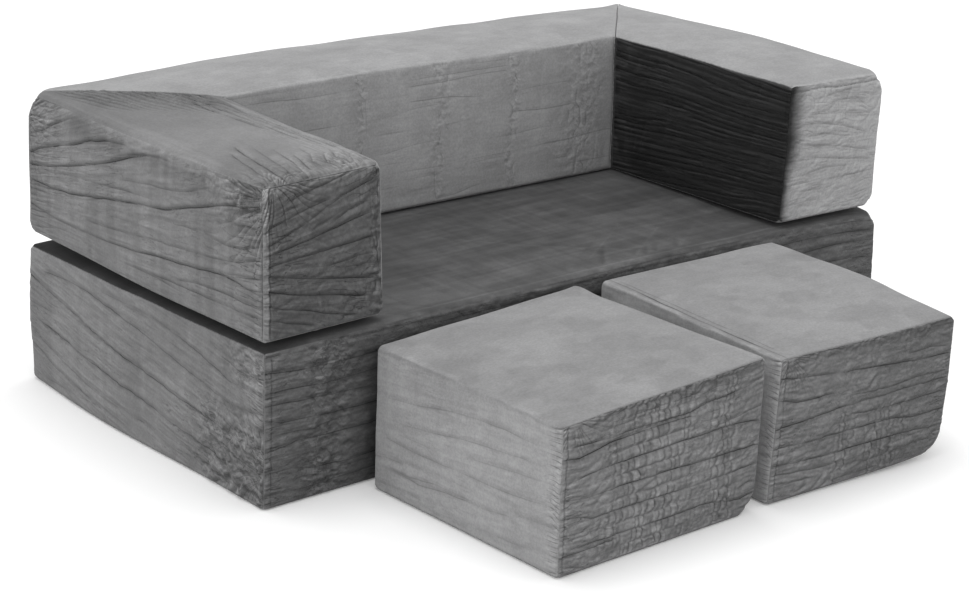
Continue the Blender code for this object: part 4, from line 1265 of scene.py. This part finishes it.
def arm_slot(side):
    """The slot in an arm's underside; side is -1 on the left and 1 on the right."""
    return zip_slot("bottom", (0.4925 * side, 0.0725, REST_FLOOR), (0, -1, 0), (1, 0, 0), (0, 0, -1), 0.360)


LEFT_ARM_SOFT = [((0, 1, 0), 0.016), ((0, 1, 1), 0.028), ((0, 0, 0), 0.014), ((0, 0, 1), 0.014)]
LEFT_ARM_SOFT += [((1, 0, 0), 0.016), ((1, 0, 1), 0.016), ((0, 0.5, 1), 0.012), ((0, 0.5, 0), 0.014),
                  ((0.5, 0, 0), 0.012), ((0.5, 0, 1), 0.018), ((1, 0, 0.5), 0.009)]
LEFT_ARM_SHIFTS = {(i, j, k): pair[k] for (i, j), pair in {
    (0, 0): ((3, 1, 6), (2, -2, -2)), (1, 0): ((-4, 7, 7), (-9, 7, 0)),
    (1, 1): INNER_LEFT_SHIFTS, (0, 1): OUTER_LEFT_SHIFTS}.items() for k in (0, 1)}
RIGHT_ARM_SOFT = [((1, 1, 0), 0.016), ((1, 1, 1), 0.006), ((1, 0, 0), 0.020), ((1, 0, 1), 0.026)]
RIGHT_ARM_SOFT += [((0, 0, 0), 0.014), ((0, 0, 1), 0.012), ((0, 0, 0.5), 0.010), ((0.5, 0, 0), 0.010)]
RIGHT_ARM_SHIFTS = {(i, j, k): pair[k] for (i, j), pair in {
    (0, 0): ((-3, 4, 5), (2, -2, 0)), (1, 0): ((-2, 3, 1), (0, -2, -5)),
    (1, 1): OUTER_RIGHT_SHIFTS, (0, 1): INNER_RIGHT_SHIFTS}.items() for k in (0, 1)}
ARM_WAYS = {"long_way": (0, 1, 0), "swell": ARM_SWELL, "quiet": ("bottom", "rear"), "mitres": ("rear",),
            "crown": TOP_CROWN, "ends": {"front": 0.07, "rear": 0}}
left_arm = sew_cover(Block(
    "left_arm", LEFT_ARM_PLAN, REST_FLOOR, REST_TOP, **ARM_WAYS,
    looks={"left": left_arm_outer_panel, "front": left_arm_front_panel, "top": left_arm_top_panel},
    naps={"left": 0.775, "front": 0.40, "top": 0.76}, slot=arm_slot(-1), soft=LEFT_ARM_SOFT,
    fine=("front", "top", "left"), folded=(("left", "top"), ("front", "top"), ("top", "rear")),
    shifts=LEFT_ARM_SHIFTS, tugs=(*U_TUGS, ((-0.6, -0.02, REST_FLOOR), 0.17, (0, 0, -4)))))
right_arm = sew_cover(Block(
    "right_arm", RIGHT_ARM_PLAN, REST_FLOOR, REST_TOP, **ARM_WAYS,
    looks={"left": right_arm_inner_panel, "front": right_arm_front_panel, "top": calm_top_panel},
    naps={"left": 0.044, "front": 1.40, "top": 1.135}, slot=arm_slot(1), soft=RIGHT_ARM_SOFT,
    fine=("left", "front"), folded=(("front", "top"), ("left", "front"), ("top", "rear")),
    shifts=RIGHT_ARM_SHIFTS, tugs=U_TUGS))

# ----------------------------------------------------------------- ottomans
# Two loose square blocks stand in front, each turned by a degree. Their fronts are gathered in
# rows between long level creases, and their tops are brushed smooth.

OTTOMAN_WIDTH, OTTOMAN_DEPTH, OTTOMAN_HEIGHT = 0.361, 0.385, 0.221
OTTOMAN_SWELL = {"front": 0.003, "left": 0.003, "right": 0.003, "top": 0.005}


def turned_plan(rear_left, turn):
    """The plan of an ottoman whose rear left corner and turn are known."""
    c, s = math.cos(math.radians(turn)), math.sin(math.radians(turn))
    x, y = rear_left

    def at(u, v):
        return (x + u * c - v * s, y + u * s + v * c)

    return (at(0, -OTTOMAN_DEPTH), at(OTTOMAN_WIDTH, -OTTOMAN_DEPTH), at(OTTOMAN_WIDTH, 0), at(0, 0)), (c, s, 0)


def gathered_front(spot, crease, seed, lines, row, foot, places, reach, hem=0.009):
    """Single long creases, and between them rows of upright puckers, beside the seam of the left panel."""
    s, t = spot["s"], spot["t"]
    draw_creases(spot, crease, lines, 0.0032, seed)
    level = (t - foot) / row + 0.05 * drift(s / 0.05, t / 0.05, seed + 1)
    band = np.floor(level)
    between = level - band
    columns = np.clip(sum(np.exp(-(np.abs(s - at) / wide) ** 3) for at, wide in places), 0, 1)
    columns = columns * smooth(*reach, t)
    upright = s / 0.0118 + 0.6 * drift(s / 0.02, band * 1.7, seed + 2)
    upright = upright + 0.5 * drift(s / 0.05, t / 0.05, seed + 3) + (between - 0.5) ** 2
    depth = columns * np.sin(np.pi * between) ** 0.35 * strengths(t, upright, 0.03, seed + 4, 0.1, 0.75)
    crease.fold(1, upright, depth, 0.0046, soft=0.9, draw=0.75)
    crease.lift -= 0.0014 * columns * bell(between - np.round(between), 0.10)
    crease.nap *= 1 + 0.30 * depth * drift(s / 0.0075, band * 2.3, seed + 5)
    ends = np.maximum(smooth(0.09, 0.015, spot["left"]), smooth(0.05, 0.01, spot["right"]))
    fine = (t + 0.15 * (t - 0.11) * smooth(0.08, 0.0, spot["left"])) / 0.0075
    fine = fine + 0.6 * drift(s / 0.04, t / 0.03, seed + 6)
    drawn = ends * strengths(s, fine, 0.02, seed + 7, 0.3, 0.8)
    crease.lift -= 0.0016 * drawn * (1 - np.abs(np.sin(np.pi * fine)))
    crease.lift += 0.0022 * crumple(s * 0.7, t, 0.016, seed + 8)
    crease.follow(t, 0.45 + 0.5 * ends, 0.35)
    # crumpled cloth under the top edge, with painted shade
    shaded_crumple_under_top = smooth(0.022, 0.006, spot["high"]) * smooth(0.02, 0.09, s)
    crease.lift += 0.0030 * shaded_crumple_under_top * crumple(s, t, 0.014, seed + 9)
    crease.nap *= (1 + 0.10 * drift(s / 0.04, t / 0.03, seed + 10)) * (1 - 0.30 * shaded_crumple_under_top)
    strip = smooth(hem, hem - 0.002, spot["left"])
    crease.lift *= 1 - 0.7 * strip
    crease.nap *= 1 + 0.30 * strip
    crease.sewn = np.minimum(np.abs(spot["left"] - hem - 0.0006), spot["edge"] + 0.01 * strip)
    radiate(spot, crease, (0.02, 0.225), 0.05, 50, seed + 11, 0.0030)


LEFT_OTTOMAN_CREASES = (
    (1.0, (0, 11.4), (4.5, 10.8), (10, 10.8), (18, 10.7), (22, 10.5), (30, 10.3), (36, 9.9)),
    (0.9, (2, 13.8), (6, 14.2), (10, 14.3), (28, 14.3), (32, 13.9), (36, 13.3)),
    (0.9, (1, 8.7), (4, 8.1), (6, 7.4), (15, 7.4), (22, 7.2), (36, 7.2)),
    (0.8, (3, 3.9), (12, 3.7), (20, 3.6), (25, 3.8), (28, 3.5), (33, 2.6), (36, 3.0)),
    (0.6, (0, 3.1), (11, 3.1)), (1.1, (0, 17.3), (3, 16.9), (8.5, 17.6), (16, 17.6), (23, 17.4)),
    (0.9, (0, 18.9), (5, 18.5), (16, 18.2), (22, 18.0), (25, 18.6), (33, 18.9), (36, 19.5)),
    (0.5, (26, 14.8), (31, 15.2), (36, 15.5)), (0.5, (32, 4.4), (36, 5.0)),
    *((0.35, (9, height), (22.5, height)) for height in (1.9, 5.4, 9.1, 12.5, 16.0)),
    (0.6, (9, 20.3), (24, 20.4)))
RIGHT_OTTOMAN_CREASES = (
    (1.0, (0, 19.2), (3, 18.7), (8, 18.3), (16, 17.6), (23, 17.1), (28, 16.7), (36, 16.3)),
    (0.9, (0, 11.6), (4, 11.8), (8, 12.1), (12, 12.4), (25, 12.7), (36, 12.4)),
    (0.8, (0, 16.0), (4, 15.0), (7, 14.9), (11.5, 15.1)),
    (0.8, (1, 8.5), (18, 8.5), (24, 8.3), (28, 7.6), (36, 7.1)),
    (0.9, (0, 6.0), (5, 5.6), (10, 5.5), (25, 5.4), (29, 5.1), (35, 4.4)), (0.5, (0, 4.5), (8, 3.8), (18, 3.8)),
    (0.6, (0, 2.5), (9, 2.5)), (0.5, (17, 2.2), (22, 2.7), (28, 3.0), (34, 2.6)),
    (0.6, (14, 14.1), (22, 13.6), (28, 13.9), (36, 13.7)),
    (0.7, (15, 11.1), (20, 10.5), (27, 10.5), (36, 10.2)), (0.5, (26, 18.0), (31, 18.2), (36, 17.3)))


def left_ottoman_front_panel(spot, crease):
    """One broad column of gathers in the middle and a narrow one on the right."""
    gathered_front(spot, crease, 211, LEFT_OTTOMAN_CREASES, 0.01765, 0.0013, ((0.155, 0.075), (0.292, 0.030)),
                   (0.0, 0.01))
    crease.nap *= 1.06 - 0.16 * smooth(0.19, 0.34, spot["s"])


def right_ottoman_front_panel(spot, crease):
    """Three narrow columns of gathers in the upper half, lighter on the left."""
    gathered_front(spot, crease, 231, RIGHT_OTTOMAN_CREASES, 0.0152, 0.0098,
                   ((0.143, 0.020), (0.203, 0.018), (0.25, 0.022)), (0.12, 0.10), hem=0.012)
    crease.nap *= 1.12 - 0.24 * smooth(0.03, 0.30, spot["s"])


def left_ottoman_top_panel(spot, crease):
    """A brushed top, with stronger clouds in its nap."""
    calm_top_panel(spot, crease, 50, 0.10)


TURNED_EDGE_LINES = ((0.9, (0, 1.3), (20, 1.1), (39, 1.4)), (0.5, (3, 2.1), (36, 2.0)))


def right_ottoman_top_panel(spot, crease):
    """A brushed top, with the line of the seam's turned edge beside its left edge."""
    calm_top_panel(spot, crease, 55, 0.10)
    draw_creases(spot, crease, TURNED_EDGE_LINES, 0.0016, 57, ("t", "s"))


OTTOMAN_SIDE_CREASES = (
    (0.5, (3, 15.0), (10, 16.1), (16, 17.2), (22, 17.9), (27, 18.2), (34, 18.1)),
    (0.5, (7, 12.1), (14, 13.2), (20, 14.1), (26, 14.8), (33, 15.5)),
    (0.5, (3, 8.9), (10, 8.7), (24, 9.2), (31, 9.6), (37, 10.3)),
    (0.6, (0, 5.2), (3, 5.8), (8, 6.4), (15, 6.7)), (0.7, (4, 4.3), (10, 4.0), (16, 4.8), (24, 5.3), (29, 6.1)),
    (0.5, (2, 4.2), (8, 4.6), (14, 5.4), (21, 5.3)), (0.4, (0, 1.5), (11, 1.9)), (0.3, (17, 1.4), (33, 2.5)),
    (0.4, (20, 11.6), (28, 12.7), (35, 13.3)), (0.4, (29, 6.5), (38, 7.4)), (0.3, (5, 10.3), (13, 10.6)))


def ottoman_left_panel(spot, crease):
    """Gentle long creases that rise a little to the front, and short ones beside the front seam."""
    s, t = spot["s"], spot["t"]
    draw_creases(spot, crease, OTTOMAN_SIDE_CREASES, 0.0018, 131)
    crease.line[0] *= 0.55
    short = t / 0.0070 + 0.7 * drift(s / 0.02, t / 0.02, 133)
    rim = smooth(0.034, 0.004, spot["right"])
    crease.fold(1, short, rim * strengths(s, short, 0.015, 134, 0.15, 0.5), 0.0019, soft=0.6)
    crease.lift += 0.0008 * crumple(s * 0.3, t, 0.02, 135)
    crease.follow(t - 0.12 * s * smooth(0.0, 0.2, t), 0.18 + 0.4 * rim, 0.03)
    crease.mottle(s, t, (0.04, 0.08, 0.05, 136), (0.03, 0.010, 0.1, 137))


OTTOMAN_SOFT = [((x, y, z), 0.010) for x in (0, 1) for y in (0, 1) for z in (0, 1)]
OTTOMAN_ZIP, OTTOMAN_ZIP_START = 0.281, 0.040
OTTOMANS = {
    "left": {
        "corner": (-0.430, -0.348), "turn": 0.9,
        "front": left_ottoman_front_panel, "top": left_ottoman_top_panel,
        "naps": {"left": 1.37, "front": 0.69, "top": 1.03},
        "soft": [((1, 0, 0), 0.026)],
        "shifts": {(0, 0, 1): (1, -5, -7), (0, 0, 0): (3, 0, 0), (1, 0, 1): (8, -4, 8), (1, 0, 0): (5, 1, 0),
                   (1, 1, 1): (3, 0, 6), (0, 1, 1): (-2, -2, -8), (0, 1, 0): (-6, -1, 0)},
        "tugs": (((-0.050, -0.36, 0.225), 0.028, (4, 0, 6)),)},
    "right": {
        "corner": (-0.022, -0.348), "turn": -1.3,
        "front": right_ottoman_front_panel, "top": right_ottoman_top_panel,
        "naps": {"left": 1.56, "front": 0.585, "top": 1.03},
        "soft": [((1, 0.5, 0), 0.048), ((1, 0.5, 1), 0.014)],
        "shifts": {(0, 0, 1): (1, -2, -2), (0, 0, 0): (-1, 10, 0), (1, 0, 1): (-7, 4, -9),
                   (1, 0, 0): (-17, 0, 5), (1, 1, 1): (-3, 5, 5), (0, 1, 1): (2, 1, 7)},
        "tugs": (((0.34, -0.54, 0.23), 0.13, (2, 0, 8)), ((0.33, -0.74, 0.0), 0.075, (-9, 0, 5)))}}
ottomans = []
for side, own in OTTOMANS.items():
    plan, heading = turned_plan(own["corner"], own["turn"])
    across = np.array(heading, float)
    slot = zip_slot("rear", np.array((*plan[3], ZIP_HEIGHT)) + OTTOMAN_ZIP_START * across, across,
                    (0, 0, 1), (-across[1], across[0], 0), OTTOMAN_ZIP)
    ottomans.append(sew_cover(Block(
        side + "_ottoman", plan, 0.0, OTTOMAN_HEIGHT, long_way=heading, swell=OTTOMAN_SWELL,
        looks={"left": ottoman_left_panel, "front": own["front"], "top": own["top"]}, naps=own["naps"],
        quiet=("bottom",), step=0.013, slot=slot, fine=("front",), folded=(("left", "top"),),
        shifts=own["shifts"], tugs=own["tugs"], soft=OTTOMAN_SOFT + own["soft"])))

# --------------------------------------------------------------------- zips
# Each cover closes with a nylon coil zip, set deep in a slot of the cover: a woven tape, two
# rows of coil, and a metal slider without a tab, so that a child can't open it.

TAPE_WIDTH, TAPE_THICKNESS, TAPE_TOP = 0.0136, 0.0008, -0.0053
COIL_PITCH, COIL_REACH, COIL_HEIGHT = 0.0022, 0.0034, 0.0015


def place_in_slot(mesh, slot, run=0.0):
    """Moves a mesh, drawn with x along the zip and z outwards, into its slot."""
    _, origin, along, _, out, _ = slot
    across = np.cross(out, along)
    at = origin + along * run
    mesh.transform(Matrix([(along[i], across[i], out[i], at[i]) for i in range(3)] + [(0, 0, 0, 1)]))


def woven_tape():
    """Twill tape: a fine diagonal weave in grey polyester."""
    paint, tree, body, _, twill = grained_paint(
        "zip_tape_twill", {"Roughness": 0.8}, "ShaderNodeTexWave", {"Scale": 420.0, "Distortion": 0.4},
        (0.10, 0.10, 0.105), (0.19, 0.19, 0.195), bands_direction="DIAGONAL")
    bumped(tree, body, twill, 0.5, 0.0003)
    return paint


def nylon_coil():
    """Smooth dark nylon, with a soft gloss."""
    return grained_paint("zip_coil_nylon", {"Roughness": 0.38}, "ShaderNodeTexNoise", {"Scale": 90.0},
                         (0.075, 0.075, 0.08), (0.12, 0.12, 0.125))[0]


def slider_metal():
    """Cast zinc slider with a worn nickel skin."""
    paint, tree, body, _, wear = grained_paint(
        "slider_nickel", {"Metallic": 1.0}, "ShaderNodeTexNoise", {"Scale": 700.0, "Detail": 3.0},
        (0.34, 0.34, 0.35), (0.58, 0.58, 0.59))
    rough = node_of(tree, "ShaderNodeMapRange", {"To Min": 0.25, "To Max": 0.5})
    join(tree, (wear, rough.inputs["Value"]), (rough.outputs["Result"], body.inputs["Roughness"]))
    return paint


tape_twill, coil_nylon, nickel = woven_tape(), nylon_coil(), slider_metal()
TAPE_GRID, TAPE_END_ROOM = (60, 4), 0.0020
COIL_START, COIL_END_ROOM, COIL_OVERLAP = 0.0025, 0.006, 0.0005
COIL_WIRE, COIL_ROUND, COIL_LIFT = 0.42, 0.00035, 0.00005


def sew_zip(block, body, slot):
    """Sews one closed zip into its slot."""
    length = slot[5]
    form = bmesh.new()
    bmesh.ops.create_grid(form, x_segments=TAPE_GRID[0], y_segments=TAPE_GRID[1], size=0.5,
                          matrix=Matrix.Translation((length / 2, 0, TAPE_TOP - TAPE_THICKNESS)))
    for point in form.verts:
        point.co.x = length / 2 + (point.co.x - length / 2) * (length - TAPE_END_ROOM)
        point.co.y *= TAPE_WIDTH
    bmesh.ops.solidify(form, geom=form.faces[:], thickness=-TAPE_THICKNESS)
    bmesh.ops.recalc_face_normals(form, faces=form.faces[:])
    mesh = mesh_from(form, block + "_zip_tape")
    place_in_slot(mesh, slot)
    tape = add_piece(block + "_zip_tape", mesh)
    mesh.materials.append(tape_twill)
    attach(tape, body)
    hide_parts(block + "_zip")

    form = bmesh.new()
    for row, shift in ((1, 0.0), (-1, COIL_PITCH / 2)):
        tooth = bmesh.ops.create_cube(form, size=1)["verts"]
        bmesh.ops.scale(form, vec=(COIL_PITCH * COIL_WIRE, COIL_REACH, COIL_HEIGHT), verts=tooth)
        bmesh.ops.translate(form, vec=(COIL_START + shift, row * (COIL_REACH / 2 - COIL_OVERLAP),
                                       TAPE_TOP + COIL_HEIGHT / 2 + COIL_LIFT), verts=tooth)
    ridges = [edge for edge in form.edges
              if abs(edge.verts[0].co.y - edge.verts[1].co.y) > 0.001 and edge.verts[0].co.z > TAPE_TOP + 0.001]
    bmesh.ops.bevel(form, geom=ridges, offset=COIL_ROUND, segments=1, profile=0.5, affect="EDGES", material=-1)
    coil = add_piece(block + "_zip_coil", mesh_from(form, block + "_zip_coil"))
    row = coil.modifiers.new("row", "ARRAY")
    row.use_relative_offset, row.use_constant_offset = False, True
    row.constant_offset_displace = (COIL_PITCH, 0, 0)
    row.count = int((length - COIL_END_ROOM) / COIL_PITCH)
    applied(coil)
    place_in_slot(coil.data, slot)
    coat(coil.data, coil_nylon)
    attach(coil, body)
    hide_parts(block + "_zip")
    set_slider(block, slot)


SLIDER_LENGTH, SLIDER_NOSE, SLIDER_TAIL = 0.011, 0.0088, 0.0072
SHIELD_DEPTH, SHIELD_THICK, SHIELD_ROUND = -0.0030, 0.0010, 0.0020
CHEEK_LENGTH, CHEEK_INSET, CHEEK_THICK = SLIDER_LENGTH - 0.0042, 0.0004, 0.0008
CHEEK_DEPTH, CHEEK_HEIGHT = -0.0039, 0.0020
BRIDGE_LENGTH, BRIDGE_WIDTH, BRIDGE_ROUND = 0.0066, 0.0022, 0.0009
BRIDGE_DEPTH, BRIDGE_HEIGHT = -0.0018, 0.0018
CAST_ROUND = 0.0002


def set_slider(block, slot):
    """Casts the slider: a shield over the coil, its two cheeks, and the low bridge without a tab."""
    low, high = (np.array(corner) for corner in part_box(block + "_zip_slider"))
    _, origin, along, _, _, _ = slot
    form = bmesh.new()

    def cube(shape):
        points = bmesh.ops.create_cube(form, size=1)["verts"]
        for point in points:
            point.co = shape(point.co, SLIDER_NOSE if point.co.x < 0 else SLIDER_TAIL)
        return points

    def rounded(edges, offset, segments):
        bmesh.ops.bevel(form, geom=edges, offset=offset, segments=segments, profile=0.5, affect="EDGES",
                        material=-1)

    cube(lambda at, wide: (at.x * SLIDER_LENGTH, at.y * wide, SHIELD_DEPTH + at.z * SHIELD_THICK))
    rounded([edge for edge in form.edges if abs(edge.verts[0].co.z - edge.verts[1].co.z) > SHIELD_THICK / 2],
            SHIELD_ROUND, 4)
    for side in (-1, 1):
        cube(lambda at, wide: (at.x * CHEEK_LENGTH, side * (wide / 2 - CHEEK_INSET) + at.y * CHEEK_THICK,
                               CHEEK_DEPTH + at.z * CHEEK_HEIGHT))
    bridge = cube(lambda at, _: (at.x * BRIDGE_LENGTH, at.y * BRIDGE_WIDTH,
                                 BRIDGE_DEPTH + at.z * BRIDGE_HEIGHT))
    rounded(list({edge for point in bridge for edge in point.link_edges
                  if abs(edge.verts[0].co.y - edge.verts[1].co.y) > BRIDGE_WIDTH / 2
                  and edge.verts[0].co.z > BRIDGE_DEPTH}), BRIDGE_ROUND, 3)
    mesh = mesh_from(form, block + "_slider")
    place_in_slot(mesh, slot, ((low + high) / 2 - origin) @ along)
    slider = add_piece(block + "_slider_casting", mesh)
    soft_edge = slider.modifiers.new("cast_edge", "BEVEL")
    soft_edge.width, soft_edge.segments, soft_edge.limit_method = CAST_ROUND, 2, "ANGLE"
    applied(slider)
    coat(slider.data, nickel)
    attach(slider, block + "_zip_slider")
    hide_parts(block + "_zip_slider")


for block in (seat, backrest, left_arm, right_arm, *ottomans):
    sew_zip(block.name, block.body, block.slot)

# ------------------------------------------------------------- hinge seams
# At each outer rear corner the arm's cover is sewn to the backrest's down the whole height. The
# two covers are gathered into one thin welt there, and the arm swings out on it.

WELT_PLACE, WELT_DEEP, WELT_WIDE = 0.0062, 0.0048, 0.0036
WELT_SIDES, WELT_STEPS, WELT_HINGE = 16, 70, 0.003
GATHER, GATHER_PITCH, GATHER_DRIFT = 0.18, 0.0065, 0.021
WELT_ATTRIBUTES = {"nap": 0.8, "seam": 1.0, "phase_a": 0.5, "phase_b": 0.5}


def hinge_welt(side, name):
    """Gathers one welt: a quarter round of velvet with small gathers down its length."""
    low, high = (np.array(corner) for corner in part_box(name))
    form = bmesh.new()
    centre = np.array((side * HALF_WIDE, HALF_DEEP))
    toward = np.array((-side, -1.0))
    inward = toward / np.linalg.norm(toward)
    sideways = np.array((-inward[1], inward[0]))
    middle = centre + inward * WELT_PLACE
    for point in bmesh.ops.create_circle(form, segments=WELT_SIDES, radius=1)["verts"]:
        point.co = (*(middle + inward * point.co.x * WELT_DEEP + sideways * point.co.y * WELT_WIDE), low[2])
    rim = form.edges[:]
    for _ in range(WELT_STEPS):
        made = bmesh.ops.extrude_edge_only(form, edges=rim)["geom"]
        rim = [item for item in made if isinstance(item, bmesh.types.BMEdge)]
        bmesh.ops.translate(form, vec=(0, 0, (high[2] - low[2]) / WELT_STEPS),
                            verts=[item for item in made if isinstance(item, bmesh.types.BMVert)])
    bmesh.ops.holes_fill(form, edges=[edge for edge in form.edges if edge.is_boundary])
    for point in form.verts:
        wave = math.sin(point.co.z / GATHER_PITCH * math.tau + 0.8 * math.sin(point.co.z / GATHER_DRIFT))
        gather = 1 - GATHER * (0.5 + 0.5 * wave)
        point.co.x = middle[0] + (point.co.x - middle[0]) * gather
        point.co.y = middle[1] + (point.co.y - middle[1]) * gather
    bmesh.ops.recalc_face_normals(form, faces=form.faces[:])
    mesh = mesh_from(form, name + "_welt")
    rounded = soften(points_of(mesh), Block("sofa", SEAT_PLAN, REST_FLOOR, REST_TOP, soft=BACK_SOFT))
    move_points(mesh, settle(rounded, backrest))
    for word in VELVET_WORDS:
        value = WELT_ATTRIBUTES.get(word, 0.0)
        mesh.attributes.new(word, "FLOAT", "POINT").data.foreach_set("value", [value] * len(mesh.vertices))
    mesh.polygons.foreach_set("use_smooth", [True] * len(mesh.polygons))
    mesh.materials.append(grey_velvet)
    welt = add_piece(name + "_welt", mesh)
    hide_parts(name)
    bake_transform(welt)


hinge_welt(-1, "left_hinge_seam")
hinge_welt(1, "right_hinge_seam")
